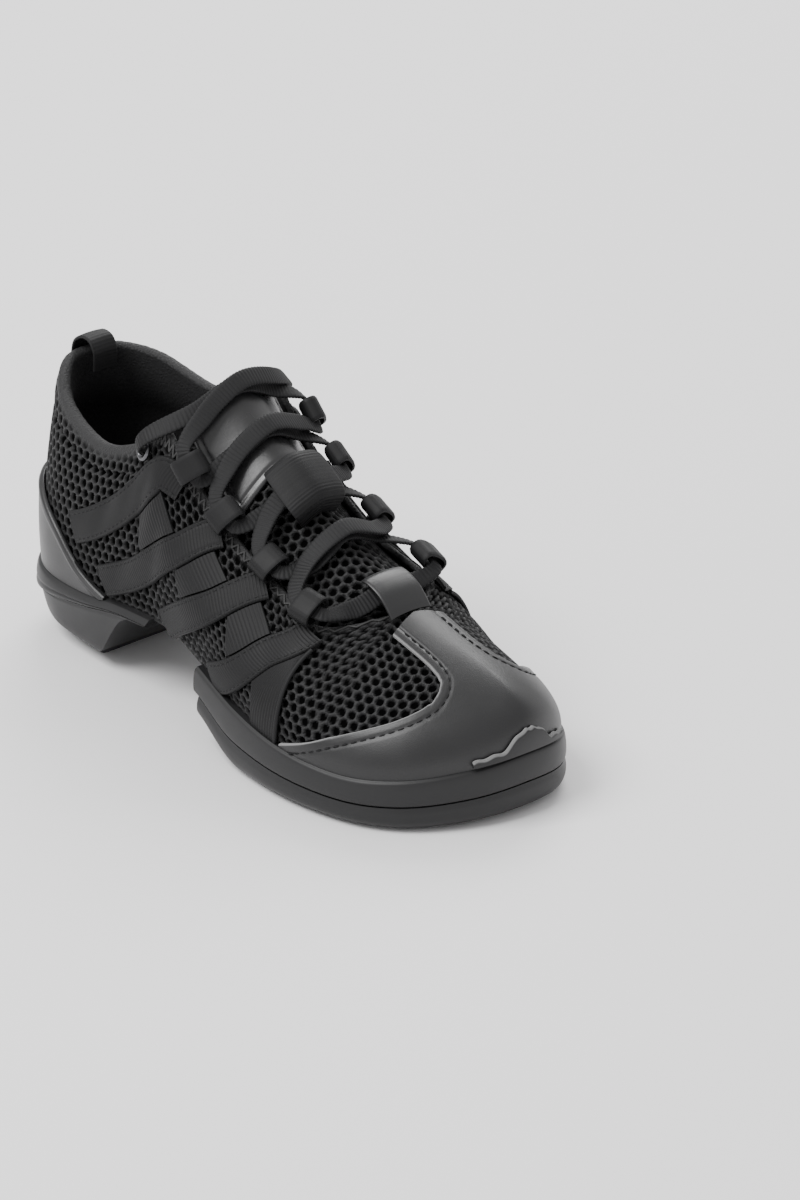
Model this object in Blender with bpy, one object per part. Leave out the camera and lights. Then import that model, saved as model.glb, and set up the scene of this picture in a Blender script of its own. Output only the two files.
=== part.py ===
"""Dance sneaker, right shoe, split sole, as an assembly of separate solids.

Metres, +Z up, toe at +X, the wearer's left (medial side) at +Y, floor at z = 0.
The origin is the middle of the heel's flat rest face.
"""

import math
from collections import namedtuple

import bmesh
import bpy
import numpy as np
from mathutils import Vector

MM = 0.001

# Driving sizes of the shoe
LENGTH = 0.236
BALL_WIDTH = 0.088
INSTEP_HEIGHT = 0.100
FEATHER_HEIGHT = 0.025
HEEL_REST_X = 0.023

# Wall and layers
WALL = 2.2 * MM
COLLAR_PAD = 4.2 * MM
GAP = 0.3 * MM
SEAT = 0.55 * MM
TAPE_SEAT = 0.75 * MM
LEATHER = 1.3 * MM
TAPE = 1.1 * MM
BAND_THICK = 0.8 * MM
RUBBER_SKIN = 1.6 * MM
LASTING_MARGIN = 8.0 * MM

# Straps, loops and lace
STRIPE_WIDTH = 11.5 * MM
LOOP_LENGTH = 6.0 * MM
LOOP_WIDTH = 11.8 * MM
LOOP_HEIGHT = 6.8 * MM
LACE_WIDTH = 5.2 * MM
LACE_THICK = 1.9 * MM
CROSS_RISE = 3.1 * MM

THROAT_BASE_T = 0.70
SIDES = {"lateral": -1, "medial": 1}

# The last, one row for each station from the heel's back (t = 0) to the toe (t = 1).
# base_*: the feather edge. top_*: collar, throat edge, then the ridge of the vamp.
# x in percent of LENGTH, y in percent of BALL_WIDTH, base_z in percent of
# FEATHER_HEIGHT, the other heights in percent of INSTEP_HEIGHT.
Station = namedtuple(
    "Station",
    "t base_x base_lat base_med base_z top_x top_lat top_med top_z_lat top_z_med"
    " bulge rise reach drop",
)
LAST = (
    Station(0.00, 2.2, 0.0, 0.0, 100, 4.5, 0.0, 0.0, 97.0, 97.0, 1.0, 24, 5, 24),
    Station(0.10, 4.1, -18.5, 18.0, 100, 6.0, -15.0, 15.0, 95.5, 96.0, 2.0, 24, 5, 24),
    Station(0.20, 10.2, -30.0, 29.0, 100, 11.6, -25.5, 25.0, 87.0, 93.5, 2.0, 22, 5, 20),
    Station(0.30, 20.5, -33.5, 30.5, 104, 22.5, -29.5, 28.0, 80.5, 89.0, 2.8, 20, 5, 18),
    Station(0.38, 30.9, -34.5, 28.0, 116, 30.9, -29.0, 28.5, 88.0, 92.0, 3.4, 20, 6, 20),
    Station(0.44, 40.7, -36.5, 25.5, 120, 36.6, -28.0, 27.5, 97.0, 100.0, 4.5, 22, 9, 24),
    Station(0.50, 50.4, -42.0, 28.0, 108, 42.4, -26.5, 27.5, 83.0, 88.0, 4.5, 20, 11, 18),
    Station(0.56, 60.6, -47.5, 36.0, 88, 50.4, -25.5, 26.0, 69.5, 76.0, 4.5, 17, 12, 12),
    Station(0.62, 70.0, -50.0, 43.8, 74, 60.2, -25.0, 26.0, 59.0, 64.0, 5.0, 15, 11, 7),
    Station(0.67, 76.8, -49.0, 47.0, 68, 70.8, -24.0, 25.5, 53.0, 55.5, 5.5, 14, 11, 5),
    Station(0.70, 80.9, -47.0, 47.0, 66, 75.8, 2.8, 2.8, 56.0, 56.0, 4.5, 14, 20, 0),
    Station(0.80, 90.0, -35.0, 41.0, 70, 82.7, 4.5, 4.5, 50.5, 50.5, 3.4, 14, 17, 0),
    Station(0.90, 95.6, -12.5, 28.5, 80, 88.3, 7.4, 7.4, 46.0, 46.0, 2.8, 13, 13.5, 0),
    Station(1.00, 97.3, 10.0, 10.0, 88, 91.8, 9.1, 9.1, 43.0, 43.0, 2.8, 12, 13.5, 0),
)

# Height of the tongue's crown above the throat, one row for each station.
Crown = namedtuple("Crown", "t x y z tuck thick")
TONGUE = (
    Crown(0.455, 38.5, 0.0, 109.5, 1.00, 5.0),
    Crown(0.5, 43.4, 0.0, 100.0, 1.00, 5.0),
    Crown(0.56, 51.5, 0.0, 87.0, 1.00, 4.6),
    Crown(0.62, 60.6, 0.0, 74.0, 1.00, 4.0),
    Crown(0.67, 70.2, 1.0, 62.0, 0.97, 3.2),
    Crown(0.7, 75.6, 2.6, 51.8, 0.90, 2.4),
    Crown(0.715, 78.0, 2.9, 49.6, 0.885, 2.2),
)

# Straps: where the middle line leaves the throat edge, its half way, and where it ends.
Strap = namedtuple("Strap", "t_top v_top t_mid v_mid t_low v_low")
STRIPES = (
    Strap(0.489, 0.925, 0.372, 0.655, 0.274, 0.415),
    Strap(0.548, 0.960, 0.458, 0.450, 0.338, 0.140),
    Strap(0.610, 0.950, 0.553, 0.550, 0.442, 0.045),
    Strap(0.662, 0.920, 0.622, 0.535, 0.528, 0.048),
)
# Ribbed bands: span on the rear strap's front edge, then on the front strap's rear edge.
Band = namedtuple("Band", "rear_from rear_to front_from front_to")
BANDS = (
    Band(0.12, 0.42, 0.33, 0.68),
    Band(0.06, 0.40, 0.33, 0.82),
    Band(0.09, 0.42, 0.42, 0.83),
)
# The last band runs from the front strap's front edge to the feather edge.
FRONT_BAND = Band(0.10, 0.66, 0.626, 0.588)

# Edges drawn on the last as pairs of t and v.
WINDOW_LOW = ((0.636, 0.05), (0.665, 0.14), (0.708, 0.25), (0.743, 0.325), (0.78, 0.405),
              (0.81, 0.495), (0.822, 0.62))
WINDOW_HIGH = ((0.713, 0.80), (0.748, 0.785), (0.78, 0.765), (0.812, 0.70), (0.822, 0.62))
COUNTER_TOP = ((0.0, 0.47), (0.10, 0.455), (0.17, 0.43), (0.24, 0.32), (0.285, 0.17),
               (0.338, 0.035))
BUMPER_TOP = ((0.90, 0.08), (0.932, 0.11), (0.972, 0.25), (1.0, 0.31))
LOOP_T = (0.487, 0.545, 0.605, 0.655)
EYELET = (0.402, 0.945)
KEEPER_T = (0.549, 0.603)

Colour = namedtuple("Colour", "name red green blue roughness")
KNIT = Colour("charcoal_mesh", 0.030, 0.030, 0.032, 0.85)
SATIN = Colour("satin_leather", 0.055, 0.055, 0.058, 0.42)
WEBBING = Colour("black_webbing", 0.022, 0.022, 0.024, 0.75)
RUBBER = Colour("sole_rubber", 0.050, 0.050, 0.052, 0.50)
LINING = Colour("lining", 0.020, 0.020, 0.021, 0.90)
CORD = Colour("lace_cord", 0.026, 0.026, 0.028, 0.70)
METAL = Colour("eyelet_metal", 0.180, 0.180, 0.185, 0.30)


def spline(knots, values, query):
    """Smooth curve through uneven knots, with slopes from the neighbours."""
    knots = np.asarray(knots, float)
    values = np.asarray(values, float)
    query = np.clip(np.asarray(query, float), knots[0], knots[-1])
    steps = np.diff(knots)
    chords = np.diff(values) / steps
    slopes = np.empty_like(values)
    slopes[1:-1] = (chords[:-1] * steps[1:] + chords[1:] * steps[:-1]) / (steps[:-1] + steps[1:])
    slopes[0] = chords[0]
    slopes[-1] = chords[-1]
    index = np.clip(np.searchsorted(knots, query, side="right") - 1, 0, len(steps) - 1)
    width = steps[index]
    u = (query - knots[index]) / width
    start = (2 * u**3 - 3 * u**2 + 1) * values[index]
    end = (3 * u**2 - 2 * u**3) * values[index + 1]
    bend = (u**3 - 2 * u**2 + u) * slopes[index] + (u**3 - u**2) * slopes[index + 1]
    return start + end + bend * width


def smooth(value):
    """0 to 1 with flat ends."""
    value = np.clip(value, 0.0, 1.0)
    return value * value * (3 - 2 * value)


def column(near, far, t):
    """A column of the last at t; past the heel and the toe it goes on along the far side."""
    rows_t = np.array([row.t for row in LAST])
    here = np.array([getattr(row, near) for row in LAST], float)
    there = np.array([getattr(row, far) for row in LAST], float)
    knots = np.concatenate([-rows_t[2:0:-1], rows_t, 2.0 - rows_t[-2:-4:-1]])
    values = np.concatenate([there[2:0:-1], here, there[-2:-4:-1]])
    return spline(knots, values, t)


def top_column(near, far, t):
    """A column of the last's top; the ridge starts afresh at the throat's base."""
    rows = [row for row in LAST if row.t >= THROAT_BASE_T - 1e-6]
    knots = [row.t for row in rows] + [2.0 - row.t for row in rows[-2:0:-1]]
    values = [getattr(row, near) for row in rows] + [getattr(row, far) for row in rows[-2:0:-1]]
    ridge = spline(knots, values, t)
    return np.where(np.asarray(t) >= THROAT_BASE_T - 1e-6, ridge, column(near, far, t))


def feather(t, side):
    """Feather edge point at t."""
    near, far = ("base_lat", "base_med") if side < 0 else ("base_med", "base_lat")
    x = column("base_x", "base_x", t) / 100 * LENGTH - HEEL_REST_X
    y = column(near, far, t) / 100 * BALL_WIDTH
    z = column("base_z", "base_z", t) / 100 * FEATHER_HEIGHT
    return np.stack([x, y, z], -1)


def top_edge(t, side):
    """Collar, throat or ridge point at t."""
    near, far = ("lat", "med") if side < 0 else ("med", "lat")
    x = top_column("top_x", "top_x", t) / 100 * LENGTH - HEEL_REST_X
    y = top_column("top_" + near, "top_" + far, t) / 100 * BALL_WIDTH
    z = top_column("top_z_" + near, "top_z_" + far, t) / 100 * INSTEP_HEIGHT
    across_y = top_column("top_" + far, "top_" + near, t) / 100 * BALL_WIDTH
    across_z = top_column("top_z_" + far, "top_z_" + near, t) / 100 * INSTEP_HEIGHT
    ridge = np.asarray(t) >= THROAT_BASE_T - 1e-6
    y = np.where(ridge, (y + across_y) / 2, y)
    z = np.where(ridge, (z + across_z) / 2, z)
    return np.stack([x, y, z], -1)


def outward(t, side):
    """Level unit vector out of the feather edge."""
    step = 0.004
    along = feather(t + step, side) - feather(t - step, side)
    along[..., 2] = 0
    along /= np.linalg.norm(along, axis=-1, keepdims=True)
    return np.stack([-side * along[..., 1], side * along[..., 0], 0 * along[..., 0]], -1)


def last_point(t, v, side):
    """Point of the last: v runs from the feather edge (0) to the top edge (1)."""
    t = np.asarray(t, float)
    v = np.asarray(v, float)[..., None]
    out = outward(t, side)
    up = np.array([0.0, 0.0, 1.0])
    low = feather(t, side)
    high = top_edge(t, side)
    bulge = column("bulge", "bulge", t)[..., None] / 100 * BALL_WIDTH
    rise = column("rise", "rise", t)[..., None] / 100 * INSTEP_HEIGHT
    reach = top_column("reach", "reach", t)[..., None] / 100 * BALL_WIDTH
    drop = top_column("drop", "drop", t)[..., None] / 100 * INSTEP_HEIGHT
    step = 0.012
    near = np.clip(t, THROAT_BASE_T + step, 1.0 - step)
    ridge = top_edge(near + step, side) - top_edge(near - step, side)
    slope = np.where(t >= THROAT_BASE_T, ridge[..., 2] / ridge[..., 0], 0.0)[..., None]
    low_handle = low + out * bulge + up * rise
    high_handle = high + out * reach - up * drop + up * slope * out[..., :1] * reach
    curve = (1 - v) ** 3 * low + 3 * (1 - v) ** 2 * v * low_handle
    return curve + 3 * (1 - v) * v**2 * high_handle + v**3 * high


def side_normal(t, v, side):
    """Unit vector out of one side of the last."""
    step = 0.004
    below = np.minimum(v, 0.97)
    along = last_point(t + step, below, side) - last_point(t - step, below, side)
    v_high = np.minimum(v + step, 1.0)
    v_low = np.maximum(v - step, 0.0)
    rise = last_point(t, v_high, side) - last_point(t, v_low, side)
    cross = np.cross(along, rise) * -side
    return cross / np.linalg.norm(cross, axis=-1, keepdims=True)


def normal(t, v, side):
    """Unit vector out of the last, the same from both sides on the ridge."""
    t = np.asarray(t, float)
    v = np.asarray(v, float)
    here = side_normal(t, v, side)
    there = side_normal(t, v, -side)
    ridge = (t >= THROAT_BASE_T - 1e-6) & (v > 0.999)
    both = np.where(ridge[..., None], here + there, here)
    return both / np.linalg.norm(both, axis=-1, keepdims=True)


def skin(t, v, side, lift):
    """Point at a given height above the last."""
    t = np.asarray(t, float)
    v = np.asarray(v, float)
    lift = np.asarray(lift, float)[..., None]
    return last_point(t, v, side) + normal(t, v, side) * lift


def material(colour):
    """The named material, made once."""
    found = bpy.data.materials.get(colour.name)
    if found:
        return found
    made = bpy.data.materials.new(colour.name)
    made.use_nodes = True
    shader = made.node_tree.nodes["Principled BSDF"]
    shader.inputs["Base Color"].default_value = (colour.red, colour.green, colour.blue, 1)
    shader.inputs["Roughness"].default_value = colour.roughness
    made.diffuse_color = (colour.red, colour.green, colour.blue, 1)
    return made


def solid(name, verts, faces, colour):
    """One closed object from points and faces, with its faces turned outward."""
    mesh = bpy.data.meshes.new(name)
    mesh.from_pydata([tuple(p) for p in verts], [], [tuple(f) for f in faces])
    work = bmesh.new()
    work.from_mesh(mesh)
    bmesh.ops.remove_doubles(work, verts=work.verts, dist=0.01 * MM)
    bmesh.ops.dissolve_degenerate(work, edges=work.edges, dist=0.01 * MM)
    bmesh.ops.recalc_face_normals(work, faces=work.faces)
    work.to_mesh(mesh)
    work.free()
    mesh.materials.append(material(colour))
    made = bpy.data.objects.new(name, mesh)
    bpy.data.collections["dance_sneaker"].objects.link(made)
    return made


def grid_faces(rows, columns, start=0):
    """Quads of a grid stored row by row."""
    faces = []
    for i in range(rows - 1):
        for j in range(columns - 1):
            a = start + i * columns + j
            faces.append((a, a + 1, a + columns + 1, a + columns))
    return faces


def weld(points, faces):
    """Give points that coincide one number."""
    apart = np.linalg.norm(points[:, None, :] - points[None, :, :], axis=-1)
    first = np.argmax(apart < 0.02 * MM, axis=1)
    joined = []
    for face in faces:
        ring = []
        for corner in face:
            if first[corner] not in ring:
                ring.append(first[corner])
        if len(ring) > 2:
            joined.append(tuple(int(c) for c in ring))
    return joined


def plate(name, outer, inner, faces, colour):
    """A closed sheet between an outer and an inner skin with the same faces."""
    outer = np.asarray(outer).reshape(-1, 3)
    inner = np.asarray(inner).reshape(-1, 3)
    faces = weld(outer, faces)
    count = len(outer)
    open_edges = {}
    for face in faces:
        for a, b in zip(face, face[1:] + face[:1]):
            if (b, a) in open_edges:
                del open_edges[(b, a)]
            else:
                open_edges[(a, b)] = True
    both = list(faces)
    both += [tuple(c + count for c in reversed(face)) for face in faces]
    both += [(b, a, a + count, b + count) for a, b in open_edges]
    return solid(name, np.concatenate([outer, inner]), both, colour)


def stations(*knots_and_counts):
    """Values of t through the knots, with the given number of steps between them."""
    values = [knots_and_counts[0]]
    for steps, knot in zip(knots_and_counts[1::2], knots_and_counts[2::2]):
        values += list(np.linspace(values[-1], knot, steps + 1)[1:])
    return np.array(values)


def wall_thickness(t, v):
    """The upper's wall: thin at the foot and vamp, padded along the collar."""
    collar = smooth((0.46 - t) / 0.06)
    band = smooth((v - 0.62) / 0.2) * (1 - 0.45 * smooth((v - 0.9) / 0.1))
    return WALL + COLLAR_PAD * collar * band


def build_upper():
    """Hollow upper: heel to toe shell with a lasting margin, closed under the arch."""
    t = stations(0.0, 25, THROAT_BASE_T, 7, 1.0)
    v = np.array([0.0, 0.12, 0.26, 0.42, 0.58, 0.72, 0.84, 0.93, 1.0])
    outer = []
    inner = []
    up = np.array([0.0, 0.0, 1.0])
    for side in (-1, 1):
        low = feather(t, side)
        out = outward(t, side)
        middle = (feather(t, -1) + feather(t, 1)) / 2
        closed = smooth((t - 0.33) / 0.03) * smooth((0.55 - t) / 0.03)
        turned = low - out * LASTING_MARGIN
        edge = turned * (1 - closed[:, None]) + middle * closed[:, None]
        half = (low + edge) / 2
        outer += [edge, half]
        inner += [edge + up * WALL, half + up * WALL]
        for level in v:
            height = np.full_like(t, level)
            outer.append(last_point(t, height, side))
            if level == 0:
                inner.append(low - out * WALL + up * WALL)
            else:
                inner.append(skin(t, height, side, -wall_thickness(t, height)))
    rows = len(v) + 2
    faces = grid_faces(rows, len(t))
    faces += [tuple(reversed(f)) for f in grid_faces(rows, len(t), rows * len(t))]
    return plate("upper", np.concatenate(outer), np.concatenate(inner), faces, KNIT)


def ring(t, lift, heights):
    """Closed outline round the feather edge: lateral side, then back along the medial."""
    sides = []
    for side in (-1, 1):
        line = feather(t, side) + outward(t, side) * lift
        line[:, 2] = heights
        sides.append(line)
    return np.concatenate([sides[0], sides[1][::-1]])


def stack(name, rings, colour):
    """A solid through rings of matching points, closed by ladders below and above."""
    count = len(rings[0])
    faces = []
    for level in range(len(rings) - 1):
        for i in range(count):
            j = (i + 1) % count
            a = level * count
            faces.append((a + i, a + j, a + count + j, a + count + i))
    last = (len(rings) - 1) * count
    for i in range(count // 2 - 1):
        far = count - 1 - i
        faces.append((i, far, far - 1, i + 1))
        faces.append((last + i, last + i + 1, last + far - 1, last + far))
    return solid(name, np.concatenate(rings), faces, colour)


def feather_height(t):
    """Height of the feather edge at t."""
    return feather(t, -1)[:, 2]


def build_heel():
    """Heel unit: midsole band above a block that slopes in under the arch."""
    steps = np.sin(np.linspace(0, 1, 13) * math.pi / 2) ** 1.2

    def at(end):
        return steps * end

    def split(end):
        t = at(end)
        return 13 * MM + (feather_height(t) - 15.5 * MM) * smooth(t / 0.40)

    top = at(0.415)
    midsole = [
        ring(top, 2.8 * MM, split(0.415) + GAP),
        ring(top, 3.8 * MM, split(0.415) + GAP + 0.6 * MM),
        ring(top, 4.0 * MM, (split(0.415) + feather_height(top)) / 2),
        ring(top, 3.0 * MM, feather_height(top) - GAP),
    ]
    stack("heel_midsole", midsole, RUBBER)
    block = [
        ring(at(0.290), -9.0 * MM, 0.0 * steps),
        ring(at(0.295), -6.2 * MM, 1.0 * MM + 0.0 * steps),
        ring(at(0.305), -2.8 * MM, 4.0 * MM + 0.0 * steps),
        ring(at(0.328), 0.4 * MM, 8.0 * MM + 0.0 * steps),
        ring(at(0.370), 2.2 * MM, split(0.370) * 0.92),
        ring(at(0.41), 2.6 * MM, split(0.41)),
    ]
    stack("heel_outsole", block, RUBBER)


def build_forefoot():
    """Forefoot unit: sidewall band above a bevelled tread with toe spring."""
    rear = 0.503
    steps = 1 - np.cos(np.linspace(0, 1, 19) * math.pi / 2) ** 1.1

    def at(start):
        return start + (1 - start) * steps

    def ground(t):
        spring = 2.0 * MM * smooth((t - 0.76) / 0.24) ** 1.3
        heel = 9.0 * MM * smooth((0.575 - t) / 0.075) ** 1.2
        return spring + heel

    def split(t):
        return ground(t) + (feather_height(t) - ground(t)) * 0.50

    t = at(rear)
    midsole = [
        ring(t, 2.4 * MM, split(t) + GAP),
        ring(t, 3.6 * MM, split(t) + GAP + 0.7 * MM),
        ring(t, 3.8 * MM, (split(t) + feather_height(t)) / 2),
        ring(t, 2.8 * MM, feather_height(t) - GAP),
    ]
    stack("forefoot_midsole", midsole, RUBBER)
    low = at(rear + 0.022)
    edge = at(rear + 0.014)
    wall = at(rear + 0.006)
    tread = [
        ring(low, -1.5 * MM, ground(low)),
        ring(edge, 1.6 * MM, ground(edge) + 1.0 * MM),
        ring(wall, 3.4 * MM, ground(wall) + (split(wall) - ground(wall)) * 0.35),
        ring(wall, 3.8 * MM, ground(wall) + (split(wall) - ground(wall)) * 0.70),
        ring(wall, 3.2 * MM, split(wall)),
    ]
    stack("forefoot_outsole", tread, RUBBER)


def build_insole():
    """Insole on the lasting margin, inside the wall."""
    t = stations(0.0, 12, 0.5, 8, 0.8, 7, 1.0)
    inset = -(WALL + 2.2 * MM)
    floor = feather_height(t) + WALL + GAP + 2.2 * MM * smooth((t - 0.70) / 0.20)
    rings = [
        ring(t, inset, floor),
        ring(t, inset, floor + 2.6 * MM),
    ]
    stack("insole", rings, LINING)


def crown(name, t):
    """A column of the tongue's table at t."""
    return spline([row.t for row in TONGUE], [getattr(row, name) for row in TONGUE], t)


def tongue_line(t):
    """Across the tongue at one station, from its lateral edge to its medial edge."""
    under = -(WALL + 1.2 * MM + 0.7 * MM * smooth((t - 0.64) / 0.08))
    tuck = float(crown("tuck", t))
    heights = tuck - np.array([0.16, 0.08, 0.0])
    points = [skin(np.full(3, t), heights, side, under) for side in (-1, 1)]
    middle = np.array([
        crown("x", t) / 100 * LENGTH - HEEL_REST_X,
        crown("y", t) / 100 * BALL_WIDTH,
        crown("z", t) / 100 * INSTEP_HEIGHT,
    ])
    chain = np.concatenate([points[0], [middle], points[1][::-1]])
    knots = np.array([-1.0, -0.82, -0.64, 0.0, 0.64, 0.82, 1.0])
    query = np.linspace(-1, 1, 13)
    line = np.stack([spline(knots, chain[:, axis], query) for axis in range(3)], -1)
    return line


def sheet_normals(points):
    """Unit normals of a grid of points, upward."""
    along = np.gradient(points, axis=0)
    across = np.gradient(points, axis=1)
    cross = np.cross(along, across)
    cross /= np.linalg.norm(cross, axis=-1, keepdims=True)
    return cross * np.sign(cross[..., 2:3].mean())


def tongue_sheet():
    """The tongue's outer skin and its thickness."""
    t = stations(TONGUE[0].t, 16, TONGUE[-1].t)
    outer = np.array([tongue_line(value) for value in t])
    thick = crown("thick", t)[:, None] * MM
    edge = 1 - 0.5 * np.linspace(-1, 1, outer.shape[1])[None, :] ** 4
    return outer, thick * edge


def build_tongue():
    """Padded tongue that rises above the throat and tucks under the vamp."""
    outer, thick = tongue_sheet()
    inner = outer - sheet_normals(outer) * thick[..., None]
    plate("tongue", outer, inner, grid_faces(*outer.shape[:2]), KNIT)
    panel = outer[0:6, 4:9]
    lift = sheet_normals(outer)[0:6, 4:9]
    plate("tongue_panel", panel + lift * (GAP + 1.0 * MM), panel + lift * GAP,
          grid_faces(6, 5), SATIN)


def surface_patch(name, t, v, side, low, high, colour):
    """A sheet between two heights above the last over a grid of t and v."""
    outer = skin(t, v, side, np.full_like(t, high))
    inner = skin(t, v, side, np.full_like(t, low))
    return plate(name, outer, inner, grid_faces(*t.shape), colour)


def strap_edges(strap, side, half, count):
    """Both edges of a strap in t and v, a half width either side of its middle line."""
    s = np.linspace(0, 1, count)
    first = (1 - s) * (1 - 2 * s)
    half_way = 4 * s * (1 - s)
    final = s * (2 * s - 1)
    t = strap.t_top * first + strap.t_mid * half_way + strap.t_low * final
    v = strap.v_top * first + strap.v_mid * half_way + strap.v_low * final
    step = 0.004
    along_t = (last_point(t + step, v, side) - last_point(t - step, v, side)) / (2 * step)
    along_v = (last_point(t, v + step, side) - last_point(t, v - step, side)) / (2 * step)
    middle = last_point(t, v, side)
    run = np.gradient(middle, axis=0)
    cross = np.cross(run, normal(t, v, side))
    cross /= np.linalg.norm(cross, axis=-1, keepdims=True)
    aa = (along_t * along_t).sum(-1)
    ab = (along_t * along_v).sum(-1)
    bb = (along_v * along_v).sum(-1)
    ca = (cross * along_t).sum(-1)
    cb = (cross * along_v).sum(-1)
    bottom = aa * bb - ab * ab
    dt = (ca * bb - cb * ab) / bottom * half
    dv = (cb * aa - ca * ab) / bottom * half
    front = np.sign(dt.mean())
    return (t + front * dt, v + front * dv), (t - front * dt, v - front * dv)


def build_straps():
    """Four tapes a side, and the ribbed bands that fill the way between them."""
    for word, side in SIDES.items():
        for number, strap in enumerate(STRIPES, 1):
            front, rear = strap_edges(strap, side, STRIPE_WIDTH / 2, 9)
            across = np.linspace(0, 1, 4)[None, :]
            t = front[0][:, None] * (1 - across) + rear[0][:, None] * across
            v = front[1][:, None] * (1 - across) + rear[1][:, None] * across
            v = np.clip(v, 0.005, 0.995)
            name = "stripe_{}_{}".format(word, number)
            surface_patch(name, t, v, side, TAPE_SEAT, TAPE_SEAT + TAPE, WEBBING)
        for number, band in enumerate(BANDS, 1):
            reach = STRIPE_WIDTH / 2 + SEAT
            rear_edge = strap_edges(STRIPES[number - 1], side, reach, 33)[0]
            front_edge = strap_edges(STRIPES[number], side, reach, 33)[1]
            s = np.linspace(0, 1, 33)
            w = np.linspace(0, 1, 6)[:, None]
            u = np.linspace(0, 1, 5)[None, :]
            back = band.rear_from + (band.rear_to - band.rear_from) * w
            fore = band.front_from + (band.front_to - band.front_from) * w
            t = np.interp(back, s, rear_edge[0]) * (1 - u) + np.interp(fore, s, front_edge[0]) * u
            v = np.interp(back, s, rear_edge[1]) * (1 - u) + np.interp(fore, s, front_edge[1]) * u
            v = np.clip(v, 0.005, 0.99)
            name = "band_{}_{}".format(word, number)
            surface_patch(name, t, v, side, SEAT, SEAT + BAND_THICK, WEBBING)
        edge = strap_edges(STRIPES[-1], side, STRIPE_WIDTH / 2 + GAP, 33)[0]
        s = np.linspace(0, 1, 33)
        w = np.linspace(0, 1, 6)[:, None]
        u = np.linspace(0, 1, 9)[None, :]
        high = FRONT_BAND.rear_from + (FRONT_BAND.rear_to - FRONT_BAND.rear_from) * w
        low = FRONT_BAND.front_from + (FRONT_BAND.front_to - FRONT_BAND.front_from) * w
        t = np.interp(high, s, edge[0]) * (1 - u) + low * u
        v = np.interp(high, s, edge[1]) * (1 - u) + 0.012 * u
        surface_patch("band_{}_4".format(word), t, v, side, SEAT, SEAT + BAND_THICK, WEBBING)


def on_edge(pairs, t):
    """The v of an edge at t."""
    return spline([pair[0] for pair in pairs], [pair[1] for pair in pairs], t)


def build_toe_cap():
    """Leather cap with a window on each side and a tab up the ridge to the throat."""
    low = (SEAT, SEAT + LEATHER)
    t = stations(WINDOW_LOW[0][0], 3, WINDOW_HIGH[0][0], 5, WINDOW_LOW[-1][0], 6, 1.0)
    tip = WINDOW_LOW[-1][0]
    outer = []
    inner = []
    faces = []
    for side in (-1, 1):
        edge_low = np.where(t < tip, on_edge(WINDOW_LOW, t), WINDOW_LOW[-1][1])
        edge_high = np.where(t < tip, on_edge(WINDOW_HIGH, t), WINDOW_HIGH[-1][1])
        lower = 0.03 + np.linspace(0, 1, 5)[:, None] * (edge_low[None, :] - 0.03)
        upper = edge_high[None, :] + np.linspace(0, 1, 4)[:, None] * (1 - edge_high[None, :])
        start = len(outer) * len(t)
        turn = 1 if side < 0 else -1
        for level in np.concatenate([lower, upper]):
            outer.append(skin(t, level, side, np.full_like(t, low[1])))
            inner.append(skin(t, level, side, np.full_like(t, low[0])))
        faces += [f[::turn] for f in grid_faces(5, len(t), start)]
        for face in grid_faces(4, len(t), start + 5 * len(t)):
            if t[(face[0] - start) % len(t)] > WINDOW_HIGH[0][0] - 1e-6:
                faces.append(face[::turn])
    plate("toe_cap", np.concatenate(outer), np.concatenate(inner), faces, SATIN)


def build_wrap(name, t, edge, low, base, thick, colour):
    """A sheet round the heel or the toe, from the feather edge up to a drawn edge."""
    levels = np.linspace(0, 1, 5)
    outer = []
    inner = []
    for level in levels:
        for side in (-1, 1):
            v = low + (on_edge(edge, t) - low) * level
            above = skin(t, v, side, np.full_like(t, base + thick))
            below = skin(t, v, side, np.full_like(t, base))
            outer.append(above if side < 0 else above[::-1])
            inner.append(below if side < 0 else below[::-1])
    columns = 2 * len(t)
    return plate(name, np.concatenate(outer), np.concatenate(inner),
                 grid_faces(len(levels), columns), colour)


def build_wraps():
    """Heel counter and toe bumper."""
    heel = stations(COUNTER_TOP[-1][0], 14, 0.0)
    build_wrap("heel_counter", heel, COUNTER_TOP, 0.015, SEAT, RUBBER_SKIN, SATIN)
    toe = stations(BUMPER_TOP[0][0], 8, 1.0)
    build_wrap("toe_bumper", toe, BUMPER_TOP, 0.06, SEAT + LEATHER + GAP, RUBBER_SKIN, RUBBER)


def strip(name, middle, thick, colour):
    """A bent sheet of even thickness round a grid of points."""
    middle = np.asarray(middle)
    along = np.gradient(middle, axis=0)
    across = np.gradient(middle, axis=1)
    face = np.cross(along, across)
    face /= np.linalg.norm(face, axis=-1, keepdims=True)
    return plate(name, middle + face * thick / 2, middle - face * thick / 2,
                 grid_faces(*middle.shape[:2]), colour)


def throat_frame(t, side):
    """Point on the throat edge with its directions: to the ankle, inward, up."""
    t = np.array([t])
    edge = last_point(t, np.array([1.0]), side)[0]
    along = top_edge(t - 0.01, side)[0] - top_edge(t + 0.01, side)[0]
    along /= np.linalg.norm(along)
    up = normal(t, np.array([1.0]), side)[0]
    inward = np.cross(up, along) * side
    inward /= np.linalg.norm(inward)
    return edge, along, inward, up


def loop_frame(t, side):
    """Middle of a lace loop with its directions."""
    edge, along, inward, up = throat_frame(t, side)
    middle = edge + inward * 3.2 * MM + up * (SEAT + TAPE + GAP + LOOP_HEIGHT / 2)
    return middle, along, inward, up


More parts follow.
